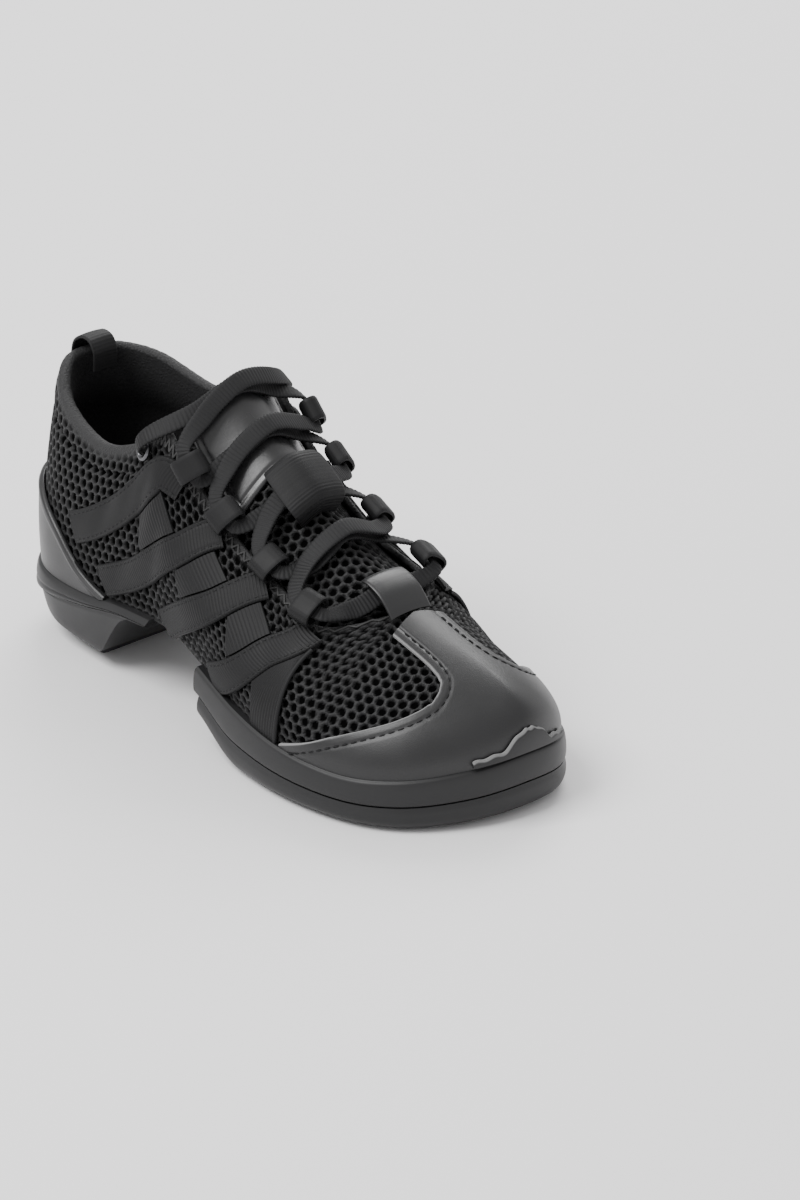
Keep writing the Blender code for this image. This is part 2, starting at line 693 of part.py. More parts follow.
def build_loops():
    """Folded tape sleeves along the throat edge, each open lengthwise for the lace."""
    turns = np.linspace(0, 2 * math.pi, 9)[:-1] + math.pi / 8
    corner = 0.75
    square = np.stack([np.sign(np.cos(turns)) * np.abs(np.cos(turns)) ** corner,
                       np.sign(np.sin(turns)) * np.abs(np.sin(turns)) ** corner], -1)
    count = len(turns)
    for word, side in SIDES.items():
        for number, t in enumerate(LOOP_T, 1):
            middle, along, inward, up = loop_frame(t, side)
            rings = []
            for half_x, half_z, shift in (
                (LOOP_WIDTH / 2, LOOP_HEIGHT / 2, -0.5),
                (LOOP_WIDTH / 2, LOOP_HEIGHT / 2, 0.5),
                (LOOP_WIDTH / 2 - TAPE, LOOP_HEIGHT / 2 - TAPE, 0.5),
                (LOOP_WIDTH / 2 - TAPE, LOOP_HEIGHT / 2 - TAPE, -0.5),
            ):
                rings.append(middle + along * shift * LOOP_LENGTH
                             + inward * square[:, :1] * half_x + up * square[:, 1:] * half_z)
            faces = []
            for level in range(4):
                a = level * count
                b = (level + 1) % 4 * count
                for i in range(count):
                    j = (i + 1) % count
                    faces.append((a + i, a + j, b + j, b + i))
            solid("lace_loop_{}_{}".format(word, number), np.concatenate(rings), faces, WEBBING)


def eyelet_frame(side):
    """Middle of an eyelet on the skin, and the way out."""
    t = np.array([EYELET[0]])
    v = np.array([EYELET[1]])
    return last_point(t, v, side)[0], normal(t, v, side)[0]


def build_eyelets():
    """Small metal rings at the top of the throat."""
    for word, side in SIDES.items():
        point, out = eyelet_frame(side)
        place = Vector(point + out * (0.9 * MM + 2 * GAP))
        bpy.ops.mesh.primitive_torus_add(
            location=place, rotation=Vector(out).to_track_quat("Z", "Y").to_euler(),
            major_radius=3.0 * MM, minor_radius=0.8 * MM, major_segments=16, minor_segments=6)
        made = bpy.context.object
        made.name = "eyelet_" + word
        made.data.materials.append(material(METAL))
        for holder in list(made.users_collection):
            holder.objects.unlink(made)
        bpy.data.collections["dance_sneaker"].objects.link(made)


def on_tongue(t, q, lift):
    """Point above the tongue: q is -1 at its lateral edge and 1 at its medial edge."""
    step = 0.004
    query = np.linspace(-1, 1, 13)

    def point(line, at_q):
        return np.array([np.interp(at_q, query, line[:, axis]) for axis in range(3)])

    before, here, after = (tongue_line(at_t) for at_t in (t - step, t, t + step))
    along = point(after, q) - point(before, q)
    across = point(here, q + 0.08) - point(here, q - 0.08)
    up = np.cross(along, across)
    up /= np.linalg.norm(up) * math.copysign(1.0, up[2])
    return point(here, q) + up * lift, up


def loop_run(word, number):
    """Lace points through a loop, from its ankle end to its toe end."""
    middle, along, _, up = loop_frame(LOOP_T[number - 1], SIDES[word])
    reach = LOOP_LENGTH / 2 + 1.2 * MM
    order = (1.0, 0.5, 0.0, -0.5, -1.0)
    return [(middle + along * reach * share, up, 0.72) for share in order]


def crossing(start_t, end_t, start_side, over):
    """Lace points across the tongue from one side to the other."""
    rest = 2.5 * MM + LACE_THICK / 2
    rise = CROSS_RISE if over else 0.0
    middle_t = (start_t + end_t) / 2
    points = []
    for q, share, t in ((0.34, 1.1, start_t), (0.0, 1.0, middle_t), (-0.34, 0.75, end_t)):
        place, up = on_tongue(t, q * start_side, rest + rise * share)
        points.append((place, up, 1.0))
    return points


def eyelet_run(word):
    """Lace points out of an eyelet."""
    point, out = eyelet_frame(SIDES[word])
    _, _, inward, _ = throat_frame(LOOP_T[0], SIDES[word])
    return [
        (point + out * 1.0 * MM, -inward, 0.42),
        (point + out * 3.4 * MM + inward * 0.2 * MM, out * 0.5 - inward, 0.44),
        (point + out * 5.4 * MM + inward * 2.0 * MM, out - inward * 0.3, 0.55),
    ]


def lace_half(word, other, first_over):
    """Points from one eyelet to the toe end of the lowest loop on the same side."""
    side = SIDES[word]
    across = LOOP_T
    points = eyelet_run(word)
    points += crossing(across[0] - 0.030, across[0] - 0.021, side, first_over)
    points += loop_run(other, 1)
    points += crossing(across[0] + 0.026, across[1] - 0.026, -side, not first_over)
    points += loop_run(word, 2)
    points += crossing(across[1] + 0.026, across[2] - 0.026, side, first_over)
    points += loop_run(other, 3)
    points += crossing(across[2] + 0.024, across[3] - 0.024, -side, not first_over)
    points += loop_run(word, 4)
    return points


def lace_route():
    """Points of the lace from the lateral eyelet to the medial one."""
    lateral = lace_half("lateral", "medial", False)
    medial = lace_half("medial", "lateral", True)
    rest = 1.8 * MM + LACE_THICK / 2
    bar = []
    for q, t in ((-0.34, 0.672), (0.0, 0.677), (0.34, 0.672)):
        place, up = on_tongue(t, q, rest)
        bar.append((place, up, 1.0))
    return lateral + bar + medial[::-1]


def build_lace():
    """One flat cord through all the loops, its ends in the eyelets."""
    route = lace_route()
    places = np.array([row[0] for row in route])
    ups = np.array([row[1] for row in route])
    sizes = np.array([row[2] for row in route])
    length = np.concatenate([[0], np.cumsum(np.linalg.norm(np.diff(places, axis=0), axis=1))])
    gaps = np.diff(length)
    halves = length[:-1][gaps > 7.0 * MM] + gaps[gaps > 7.0 * MM] / 2
    query = np.sort(np.concatenate([length, halves]))
    count = len(query)
    middle = np.stack([spline(length, places[:, k], query) for k in range(3)], -1)
    up = np.stack([spline(length, ups[:, k], query) for k in range(3)], -1)
    size = spline(length, sizes, query)[:, None]
    along = np.gradient(middle, axis=0)
    along /= np.linalg.norm(along, axis=1, keepdims=True)
    across = np.cross(up, along)
    across /= np.linalg.norm(across, axis=1, keepdims=True)
    up = np.cross(along, across)
    sides = 8
    rings = []
    for i in range(sides):
        turn = 2 * math.pi * (i + 0.5) / sides
        wide = across * math.cos(turn) * LACE_WIDTH / 2 * size
        high = up * math.sin(turn) * LACE_THICK / 2 * np.minimum(size * 1.6, 1.0)
        rings.append(middle + wide + high)
    verts = np.stack(rings, 1).reshape(-1, 3)
    faces = []
    for i in range(count - 1):
        for j in range(sides):
            k = (j + 1) % sides
            faces.append((i * sides + j, i * sides + k, (i + 1) * sides + k, (i + 1) * sides + j))
    faces.append(tuple(range(sides)))
    faces.append(tuple(range(count * sides - 1, (count - 1) * sides - 1, -1)))
    solid("lace", verts, faces, CORD)


def build_keeper():
    """Grosgrain bridge on the tongue that holds the middle crossing."""
    rows = ((0.0, 0.95), (0.02, 4.4), (0.08, 7.8), (0.26, 9.0), (0.74, 9.0), (0.92, 7.8),
            (0.98, 4.4), (1.0, 0.95))
    grid = []
    for share, lift in rows:
        t = KEEPER_T[0] + (KEEPER_T[1] - KEEPER_T[0]) * share
        grid.append([on_tongue(t, q, lift * MM)[0] for q in (-0.19, -0.1, 0.0, 0.1, 0.19)])
    strip("lace_keeper", grid, TAPE, WEBBING)


def build_throat_tab():
    """Folded leather tab at the throat's base, over the lowest bar of the lace."""
    base = top_edge(np.array([THROAT_BASE_T]), 1)[0]
    rows = ((1.6, 1.0), (-0.6, 3.6), (-4.2, 6.9), (-8.2, 8.9), (-11.4, 9.7), (-13.6, 9.4))
    grid = []
    for back, rise in rows:
        grid.append([base + np.array([back * MM, q * MM, (rise - 0.012 * q * q) * MM])
                     for q in (-8.5, -4.5, 0.0, 4.5, 8.5)])
    strip("throat_tab", grid, LEATHER, SATIN)


def build_pull_loop():
    """Tape loop that stands over the back of the collar."""
    spread = ((-1, 0.050), (-1, 0.025), (-1, 0.0), (1, 0.025), (1, 0.050))
    grid = []
    for v, lift in ((0.86, 0.9), (0.96, 1.0)):
        grid.append([skin(np.array([t]), np.array([v]), side, np.array([lift * MM]))[0]
                     for side, t in spread])
    top = [top_edge(np.array([t]), side)[0] for side, t in spread]
    for forward, rise in ((-0.6, 2.8), (1.4, 5.4), (4.8, 7.0), (8.6, 6.4), (10.8, 3.4),
                          (11.0, 0.0), (10.8, -4.0)):
        grid.append([point + np.array([forward * MM, 0.0, rise * MM]) for point in top])
    strip("pull_loop", grid, TAPE, WEBBING)


def main():
    for old in list(bpy.data.objects):
        bpy.data.objects.remove(old, do_unlink=True)
    collection = bpy.data.collections.new("dance_sneaker")
    bpy.context.scene.collection.children.link(collection)
    build_upper()
    build_heel()
    build_forefoot()
    build_insole()
    build_tongue()
    build_straps()
    build_toe_cap()
    build_wraps()
    build_loops()
    build_eyelets()
    build_lace()
    build_keeper()
    build_throat_tab()
    build_pull_loop()


main()
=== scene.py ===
import math
from collections import namedtuple

import bmesh
import bpy
import numpy as np
from bpy.props import FloatProperty, FloatVectorProperty, PointerProperty
from mathutils import Matrix, Vector


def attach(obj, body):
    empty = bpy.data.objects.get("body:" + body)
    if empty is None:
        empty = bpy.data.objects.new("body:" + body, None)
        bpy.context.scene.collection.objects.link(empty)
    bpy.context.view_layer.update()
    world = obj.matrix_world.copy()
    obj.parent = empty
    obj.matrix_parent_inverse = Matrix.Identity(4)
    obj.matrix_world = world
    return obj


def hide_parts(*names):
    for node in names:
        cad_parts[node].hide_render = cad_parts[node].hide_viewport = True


bl_info = {
    "name": "Dance sneaker finish",
    "version": (1, 0, 0),
    "blender": (4, 5, 0),
    "location": "3D View > Sidebar > Sneaker",
    "description": "Mesh, leather, tape and rubber of a split sole dance sneaker",
    "category": "Object",
}

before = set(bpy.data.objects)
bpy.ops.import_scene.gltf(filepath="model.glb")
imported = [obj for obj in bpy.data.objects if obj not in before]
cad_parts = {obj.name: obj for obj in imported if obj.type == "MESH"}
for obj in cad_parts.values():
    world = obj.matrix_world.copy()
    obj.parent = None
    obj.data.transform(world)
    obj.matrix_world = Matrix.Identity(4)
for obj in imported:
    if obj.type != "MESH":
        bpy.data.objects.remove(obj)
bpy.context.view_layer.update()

MM = 0.001

UP = np.array([0.0, 0.0, 1.0])

# Driving sizes of the shoe
LENGTH = 0.236
BALL_WIDTH = 0.088
INSTEP_HEIGHT = 0.100
FEATHER_HEIGHT = 0.025
HEEL_REST_X = 0.023

# Wall and layers
WALL = 2.2 * MM
COLLAR_PAD = 4.2 * MM
GAP = 0.3 * MM
SEAT = 0.55 * MM
TAPE_SEAT = 0.75 * MM
LEATHER = 1.3 * MM
TAPE = 1.1 * MM
BAND_THICK = 0.8 * MM
RUBBER_SKIN = 1.6 * MM
LASTING_MARGIN = 8.0 * MM

# Straps, loops and lace
STRIPE_WIDTH = 11.5 * MM
LOOP_LENGTH = 6.0 * MM
LOOP_WIDTH = 11.8 * MM
LOOP_HEIGHT = 6.8 * MM
LACE_THICK = 1.9 * MM
CROSS_RISE = 3.1 * MM

# Seams, rims and edges that only the finish has
STITCH_INSET = 3.4 * MM
TAPE_STITCH_INSET = 1.6 * MM
RIM_FLAT = 0.15 * MM
BINDING = 2.4 * MM
PANEL_LENGTH = 26.0 * MM
PANEL_WIDTH = 34.0 * MM
EYELET_RADIUS = 3.0 * MM
EYELET_WIRE = 0.8 * MM
LACE_RIB_PITCH = 1.3 * MM
LACE_RIB_DEPTH = 0.17 * MM
ZIGZAG_RATE = 118
COLLAR_SEAM_V = 0.855
COLLAR_PUFF_V = 0.94

THROAT_BASE_T = 0.70
COLLAR_FRONT_T = 0.435
ARCH_T = (0.33, 0.55)
SHELL_SPLIT_T = 0.662
HEEL_UNIT_T = 0.415
HEEL_BLOCK_HEIGHT = 13.0 * MM
FOREFOOT_UNIT_T = 0.503
TOE_SPRING = 2.0 * MM
SIDES = {"lateral": -1, "medial": 1}

# The last, one row for each station from the heel's back (t = 0) to the toe (t = 1).
# base_*: the feather edge. top_*: collar, throat edge, then the ridge of the vamp.
# x in percent of LENGTH, y in percent of BALL_WIDTH, base_z in percent of
# FEATHER_HEIGHT, the other heights in percent of INSTEP_HEIGHT.
Station = namedtuple(
    "Station",
    "t base_x base_lat base_med base_z top_x top_lat top_med top_z_lat top_z_med"
    " bulge rise reach drop",
)
LAST = (
    Station(0.00, 2.2, 0.0, 0.0, 100, 4.5, 0.0, 0.0, 97.0, 97.0, 1.0, 24, 5, 24),
    Station(0.10, 4.1, -18.5, 18.0, 100, 6.0, -15.0, 15.0, 95.5, 96.0, 2.0, 24, 5, 24),
    Station(0.20, 10.2, -30.0, 29.0, 100, 11.6, -25.5, 25.0, 87.0, 93.5, 2.0, 22, 5, 20),
    Station(0.30, 20.5, -33.5, 30.5, 104, 22.5, -29.5, 28.0, 80.5, 89.0, 2.8, 20, 5, 18),
    Station(0.38, 30.9, -34.5, 28.0, 116, 30.9, -29.0, 28.5, 88.0, 92.0, 3.4, 20, 6, 20),
    Station(0.44, 40.7, -36.5, 25.5, 120, 36.6, -28.0, 27.5, 97.0, 100.0, 4.5, 22, 9, 24),
    Station(0.50, 50.4, -42.0, 28.0, 108, 42.4, -26.5, 27.5, 83.0, 88.0, 4.5, 20, 11, 18),
    Station(0.56, 60.6, -47.5, 36.0, 88, 50.4, -25.5, 26.0, 69.5, 76.0, 4.5, 17, 12, 12),
    Station(0.62, 70.0, -50.0, 43.8, 74, 60.2, -25.0, 26.0, 59.0, 64.0, 5.0, 15, 11, 7),
    Station(0.67, 76.8, -49.0, 47.0, 68, 70.8, -24.0, 25.5, 53.0, 55.5, 5.5, 14, 11, 5),
    Station(0.70, 80.9, -47.0, 47.0, 66, 75.8, 2.8, 2.8, 56.0, 56.0, 4.5, 14, 20, 0),
    Station(0.80, 90.0, -35.0, 41.0, 70, 82.7, 4.5, 4.5, 50.5, 50.5, 3.4, 14, 17, 0),
    Station(0.90, 95.6, -12.5, 28.5, 80, 88.3, 7.4, 7.4, 46.0, 46.0, 2.8, 13, 13.5, 0),
    Station(1.00, 97.3, 10.0, 10.0, 88, 91.8, 9.1, 9.1, 43.0, 43.0, 2.8, 12, 13.5, 0),
)

# Height of the tongue's crown above the throat, one row for each station.
Crown = namedtuple("Crown", "t x y z tuck thick")
TONGUE = (
    Crown(0.455, 38.5, 0.0, 109.5, 1.00, 5.0),
    Crown(0.5, 43.4, 0.0, 100.0, 1.00, 5.0),
    Crown(0.56, 51.5, 0.0, 87.0, 1.00, 4.6),
    Crown(0.62, 60.6, 0.0, 74.0, 1.00, 4.0),
    Crown(0.67, 70.2, 1.0, 62.0, 0.97, 3.2),
    Crown(0.7, 75.6, 2.6, 51.8, 0.90, 2.4),
    Crown(0.715, 78.0, 2.9, 49.6, 0.885, 2.2),
)

# Straps: where the middle line leaves the throat edge, its half way, and where it ends.
Strap = namedtuple("Strap", "t_top v_top t_mid v_mid t_low v_low")
STRIPES = (
    Strap(0.489, 0.925, 0.372, 0.655, 0.274, 0.415),
    Strap(0.548, 0.960, 0.458, 0.450, 0.338, 0.140),
    Strap(0.610, 0.950, 0.553, 0.550, 0.442, 0.045),
    Strap(0.662, 0.920, 0.622, 0.535, 0.528, 0.048),
)
# Ribbed bands: span on the rear strap's front edge, then on the front strap's rear edge.
Band = namedtuple("Band", "rear_from rear_to front_from front_to")
BANDS = (
    Band(0.12, 0.42, 0.33, 0.68),
    Band(0.06, 0.40, 0.33, 0.82),
    Band(0.09, 0.42, 0.42, 0.83),
)
# The last band runs from the front strap's front edge to the feather edge.
FRONT_BAND = Band(0.10, 0.66, 0.626, 0.588)

# Edges drawn on the last as pairs of t and v.
WINDOW_LOW = ((0.636, 0.05), (0.665, 0.14), (0.708, 0.25), (0.743, 0.325), (0.78, 0.405),
              (0.800, 0.463), (0.813, 0.52), (0.8200, 0.57), (0.822, 0.62))
WINDOW_HIGH = ((0.713, 0.80), (0.748, 0.785), (0.78, 0.762), (0.802, 0.732), (0.815, 0.695),
               (0.8205, 0.66), (0.822, 0.62))
COUNTER_TOP = ((0.0, 0.47), (0.10, 0.455), (0.17, 0.43), (0.24, 0.32), (0.285, 0.17),
               (0.338, 0.035))
BUMPER_TOP = ((0.90, 0.08), (0.932, 0.11), (0.972, 0.25), (1.0, 0.31))
LOOP_T = (0.487, 0.545, 0.605, 0.655)
EYELET = (0.402, 0.945)
KEEPER_T = (0.549, 0.603)

# Shares at which a strap's edges and the tongue's lines are read
EDGE_S = np.linspace(0, 1, 33)
TONGUE_Q = np.linspace(-1, 1, 13)


def spline(knots, values, query):
    """Smooth curve through uneven knots, with slopes from the neighbours."""
    knots = np.asarray(knots, float)
    values = np.asarray(values, float)
    query = np.clip(np.asarray(query, float), knots[0], knots[-1])
    steps = np.diff(knots)
    chords = np.diff(values) / steps
    slopes = np.empty_like(values)
    slopes[1:-1] = (chords[:-1] * steps[1:] + chords[1:] * steps[:-1]) / (steps[:-1] + steps[1:])
    slopes[0] = chords[0]
    slopes[-1] = chords[-1]
    index = np.clip(np.searchsorted(knots, query, side="right") - 1, 0, len(steps) - 1)
    width = steps[index]
    u = (query - knots[index]) / width
    start = (2 * u**3 - 3 * u**2 + 1) * values[index]
    end = (3 * u**2 - 2 * u**3) * values[index + 1]
    bend = (u**3 - 2 * u**2 + u) * slopes[index] + (u**3 - u**2) * slopes[index + 1]
    return start + end + bend * width


def smooth(value):
    """0 to 1 with flat ends."""
    value = np.clip(value, 0.0, 1.0)
    return value * value * (3 - 2 * value)


def unit(vectors):
    """Vectors scaled to length one."""
    return vectors / np.linalg.norm(vectors, axis=-1, keepdims=True)


def path_at(places, knots, points):
    """Points of a path read at given places between its knots."""
    return np.stack([np.interp(places, knots, points[:, axis]) for axis in range(3)], -1)


def column(near, far, t):
    """A column of the last at t; past the heel and the toe it goes on along the far side."""
    rows_t = np.array([row.t for row in LAST])
    here = np.array([getattr(row, near) for row in LAST], float)
    there = np.array([getattr(row, far) for row in LAST], float)
    knots = np.concatenate([-rows_t[2:0:-1], rows_t, 2.0 - rows_t[-2:-4:-1]])
    values = np.concatenate([there[2:0:-1], here, there[-2:-4:-1]])
    return spline(knots, values, t)


def on_ridge(t):
    """Where the top edge is the vamp's ridge."""
    return np.asarray(t) >= THROAT_BASE_T - 1e-6


def top_column(near, far, t):
    """A column of the last's top; the ridge starts afresh at the throat's base."""
    rows = [row for row in LAST if on_ridge(row.t)]
    knots = [row.t for row in rows] + [2.0 - row.t for row in rows[-2:0:-1]]
    values = [getattr(row, near) for row in rows] + [getattr(row, far) for row in rows[-2:0:-1]]
    return np.where(on_ridge(t), spline(knots, values, t), column(near, far, t))


def feather(t, side):
    """Feather edge point at t."""
    near, far = ("base_lat", "base_med") if side < 0 else ("base_med", "base_lat")
    x = column("base_x", "base_x", t) / 100 * LENGTH - HEEL_REST_X
    y = column(near, far, t) / 100 * BALL_WIDTH
    z = column("base_z", "base_z", t) / 100 * FEATHER_HEIGHT
    return np.stack([x, y, z], -1)


def top_edge(t, side):
    """Collar, throat or ridge point at t."""
    near, far = ("lat", "med") if side < 0 else ("med", "lat")
    x = top_column("top_x", "top_x", t) / 100 * LENGTH - HEEL_REST_X
    y = top_column("top_" + near, "top_" + far, t) / 100 * BALL_WIDTH
    z = top_column("top_z_" + near, "top_z_" + far, t) / 100 * INSTEP_HEIGHT
    across_y = top_column("top_" + far, "top_" + near, t) / 100 * BALL_WIDTH
    across_z = top_column("top_z_" + far, "top_z_" + near, t) / 100 * INSTEP_HEIGHT
    y = np.where(on_ridge(t), (y + across_y) / 2, y)
    z = np.where(on_ridge(t), (z + across_z) / 2, z)
    return np.stack([x, y, z], -1)


def outward(t, side):
    """Level unit vector out of the feather edge."""
    step = 0.004
    along = feather(t + step, side) - feather(t - step, side)
    along[..., 2] = 0
    return np.cross(unit(along), UP) * -side


def last_point(t, v, side):
    """Point of the last: v runs from the feather edge (0) to the top edge (1)."""
    t = np.asarray(t, float)
    v = np.asarray(v, float)[..., None]
    out = outward(t, side)
    low = feather(t, side)
    high = top_edge(t, side)
    bulge = column("bulge", "bulge", t)[..., None] / 100 * BALL_WIDTH
    rise = column("rise", "rise", t)[..., None] / 100 * INSTEP_HEIGHT
    reach = top_column("reach", "reach", t)[..., None] / 100 * BALL_WIDTH
    drop = top_column("drop", "drop", t)[..., None] / 100 * INSTEP_HEIGHT
    step = 0.012
    near = np.clip(t, THROAT_BASE_T + step, 1.0 - step)
    ridge = top_edge(near + step, side) - top_edge(near - step, side)
    slope = np.where(t >= THROAT_BASE_T, ridge[..., 2] / ridge[..., 0], 0.0)[..., None]
    low_handle = low + out * bulge + UP * rise
    high_handle = high + out * reach - UP * drop + UP * slope * out[..., :1] * reach
    curve = (1 - v) ** 3 * low + 3 * (1 - v) ** 2 * v * low_handle
    return curve + 3 * (1 - v) * v**2 * high_handle + v**3 * high


def side_normal(t, v, side):
    """Unit vector out of one side of the last."""
    step = 0.004
    below = np.minimum(v, 0.97)
    along = last_point(t + step, below, side) - last_point(t - step, below, side)
    v_high = np.minimum(v + step, 1.0)
    v_low = np.maximum(v - step, 0.0)
    rise = last_point(t, v_high, side) - last_point(t, v_low, side)
    return unit(np.cross(along, rise) * -side)


def normal(t, v, side):
    """Unit vector out of the last, the same from both sides on the ridge."""
    t = np.asarray(t, float)
    v = np.asarray(v, float)
    here = side_normal(t, v, side)
    there = side_normal(t, v, -side)
    ridge = on_ridge(t) & (v > 0.999)
    return unit(np.where(ridge[..., None], here + there, here))


def skin(t, v, side, lift):
    """Point at a given height above the last."""
    t = np.asarray(t, float)
    v = np.asarray(v, float)
    lift = np.asarray(lift, float)[..., None]
    return last_point(t, v, side) + normal(t, v, side) * lift


def wall_thickness(t, v):
    """The upper's wall: thin at the foot and vamp, padded along the collar."""
    collar = smooth((0.46 - t) / 0.06)
    band = smooth((v - 0.62) / 0.2) * (1 - 0.45 * smooth((v - 0.9) / 0.1))
    return WALL + COLLAR_PAD * collar * band


def ring(t, lift, heights):
    """Closed outline round the feather edge: lateral side, then back along the medial."""
    sides = []
    for side in (-1, 1):
        line = feather(t, side) + outward(t, side) * lift
        line[:, 2] = heights
        sides.append(line)
    return np.concatenate([sides[0], sides[1][::-1]])


def feather_height(t):
    """Height of the feather edge at t."""
    return feather(t, -1)[:, 2]


def crown(name, t):
    """A column of the tongue's table at t."""
    return spline([row.t for row in TONGUE], [getattr(row, name) for row in TONGUE], t)


def tongue_line(t):
    """Across the tongue at one station, from its lateral edge to its medial edge."""
    under = -(WALL + 1.2 * MM + 0.7 * MM * smooth((t - 0.64) / 0.08))
    tuck = float(crown("tuck", t))
    heights = tuck - np.array([0.16, 0.08, 0.0])
    points = [skin(np.full(3, t), heights, side, under) for side in (-1, 1)]
    middle = np.array([
        crown("x", t) / 100 * LENGTH - HEEL_REST_X,
        crown("y", t) / 100 * BALL_WIDTH,
        crown("z", t) / 100 * INSTEP_HEIGHT,
    ])
    chain = np.concatenate([points[0], [middle], points[1][::-1]])
    knots = np.array([-1.0, -0.82, -0.64, 0.0, 0.64, 0.82, 1.0])
    return np.stack([spline(knots, chain[:, axis], TONGUE_Q) for axis in range(3)], -1)


def sheet_normals(points):
    """Unit normals of a grid of points, upward."""
    along = np.gradient(points, axis=0)
    across = np.gradient(points, axis=1)
    cross = unit(np.cross(along, across))
    return cross * np.sign(cross[..., 2:3].mean())


def strap_edges(strap, side, half):
    """Both edges of a strap in t and v, a half width either side of its middle line."""
    s = EDGE_S
    first = (1 - s) * (1 - 2 * s)
    half_way = 4 * s * (1 - s)
    final = s * (2 * s - 1)
    t = strap.t_top * first + strap.t_mid * half_way + strap.t_low * final
    v = strap.v_top * first + strap.v_mid * half_way + strap.v_low * final
    step = 0.004
    along_t = (last_point(t + step, v, side) - last_point(t - step, v, side)) / (2 * step)
    along_v = (last_point(t, v + step, side) - last_point(t, v - step, side)) / (2 * step)
    middle = last_point(t, v, side)
    run = np.gradient(middle, axis=0)
    cross = unit(np.cross(run, normal(t, v, side)))
    aa = (along_t * along_t).sum(-1)
    ab = (along_t * along_v).sum(-1)
    bb = (along_v * along_v).sum(-1)
    ca = (cross * along_t).sum(-1)
    cb = (cross * along_v).sum(-1)
    bottom = aa * bb - ab * ab
    dt = (ca * bb - cb * ab) / bottom * half
    dv = (cb * aa - ca * ab) / bottom * half
    front = np.sign(dt.mean())
    return (t + front * dt, v + front * dv), (t - front * dt, v - front * dv)


def on_edge(pairs, t):
    """The v of an edge at t."""
    return spline([pair[0] for pair in pairs], [pair[1] for pair in pairs], t)


def throat_frame(t, side):
    """Point on the throat edge with its directions: to the ankle, inward, up."""
    t = np.array([t])
    edge = last_point(t, np.array([1.0]), side)[0]
    along = unit(top_edge(t - 0.01, side)[0] - top_edge(t + 0.01, side)[0])
    up = normal(t, np.array([1.0]), side)[0]
    return edge, along, unit(np.cross(up, along) * side), up


def loop_frame(t, side):
    """Middle of a lace loop with its directions."""
    edge, along, inward, up = throat_frame(t, side)
    middle = edge + inward * 3.2 * MM + up * (SEAT + TAPE + GAP + LOOP_HEIGHT / 2)
    return middle, along, inward, up


def eyelet_frame(side):
    """Middle of an eyelet on the skin, and the way out."""
    t = np.array([EYELET[0]])
    v = np.array([EYELET[1]])
    return last_point(t, v, side)[0], normal(t, v, side)[0]


def on_tongue(t, q, lift):
    """Point above the tongue: q is -1 at its lateral edge and 1 at its medial edge."""
    step = 0.004
    before, here, after = (tongue_line(at_t) for at_t in (t - step, t, t + step))
    along = path_at(q, TONGUE_Q, after) - path_at(q, TONGUE_Q, before)
    across = path_at(q + 0.08, TONGUE_Q, here) - path_at(q - 0.08, TONGUE_Q, here)
    up = unit(np.cross(along, across))
    up = up * math.copysign(1.0, up[2])
    return path_at(q, TONGUE_Q, here) + up * lift, up


def loop_run(word, number):
    """Lace points through a loop, from its ankle end to its toe end."""
    middle, along, _, up = loop_frame(LOOP_T[number - 1], SIDES[word])
    reach = LOOP_LENGTH / 2 + 1.2 * MM
    order = (1.0, 0.5, 0.0, -0.5, -1.0)
    return [(middle + along * reach * share, up, 0.72) for share in order]


def crossing(start_t, end_t, start_side, over):
    """Lace points across the tongue: three heights above it, higher where the strand is over."""
    rest = 2.5 * MM + LACE_THICK / 2
    rise = CROSS_RISE if over else 0.0
    middle_t = (start_t + end_t) / 2
    rows = ((0.34, 1.1, start_t), (0.0, 1.0, middle_t), (-0.34, 0.75, end_t))
    return [(*on_tongue(t, q * start_side, rest + rise * share), 1.0) for q, share, t in rows]


def eyelet_run(word):
    """Lace points out of an eyelet."""
    point, out = eyelet_frame(SIDES[word])
    _, _, inward, _ = throat_frame(LOOP_T[0], SIDES[word])
    return [
        (point + out * 1.0 * MM, -inward, 0.42),
        (point + out * 3.4 * MM + inward * 0.2 * MM, out * 0.5 - inward, 0.44),
        (point + out * 5.4 * MM + inward * 2.0 * MM, out - inward * 0.3, 0.55),
    ]


def lace_half(word, other, first_over):
    """Points from one eyelet to the toe end of the lowest loop on the same side."""
    side = SIDES[word]
    across = LOOP_T
    points = eyelet_run(word)
    points += crossing(across[0] - 0.030, across[0] - 0.021, side, first_over)
    points += loop_run(other, 1)
    points += crossing(across[0] + 0.026, across[1] - 0.026, -side, not first_over)
    points += loop_run(word, 2)
    points += crossing(across[1] + 0.026, across[2] - 0.026, side, first_over)
    points += loop_run(other, 3)
    points += crossing(across[2] + 0.024, across[3] - 0.024, -side, not first_over)
    points += loop_run(word, 4)
    return points


def lace_route():
    """Points of the lace from the lateral eyelet to the medial one."""
    lateral = lace_half("lateral", "medial", False)
    medial = lace_half("medial", "lateral", True)
    rest = 1.8 * MM + LACE_THICK / 2
    bar = [(*on_tongue(t, q, rest), 1.0) for q, t in ((-0.34, 0.672), (0.0, 0.677), (0.34, 0.672))]
    return lateral + bar + medial[::-1]


# Creases under the ankle and across the vamp: middle t, lean of t with v, half width in t,
# depth in millimetres, and the v where each one is deepest.
Crease = namedtuple("Crease", "t lean width depth v")
CREASES = (
    Crease(0.395, 0.10, 0.012, 0.55, 0.50),
    Crease(0.430, 0.08, 0.011, 0.45, 0.32),
    Crease(0.340, 0.05, 0.014, 0.40, 0.72),
    Crease(0.682, -0.08, 0.008, 0.30, 0.58),
)


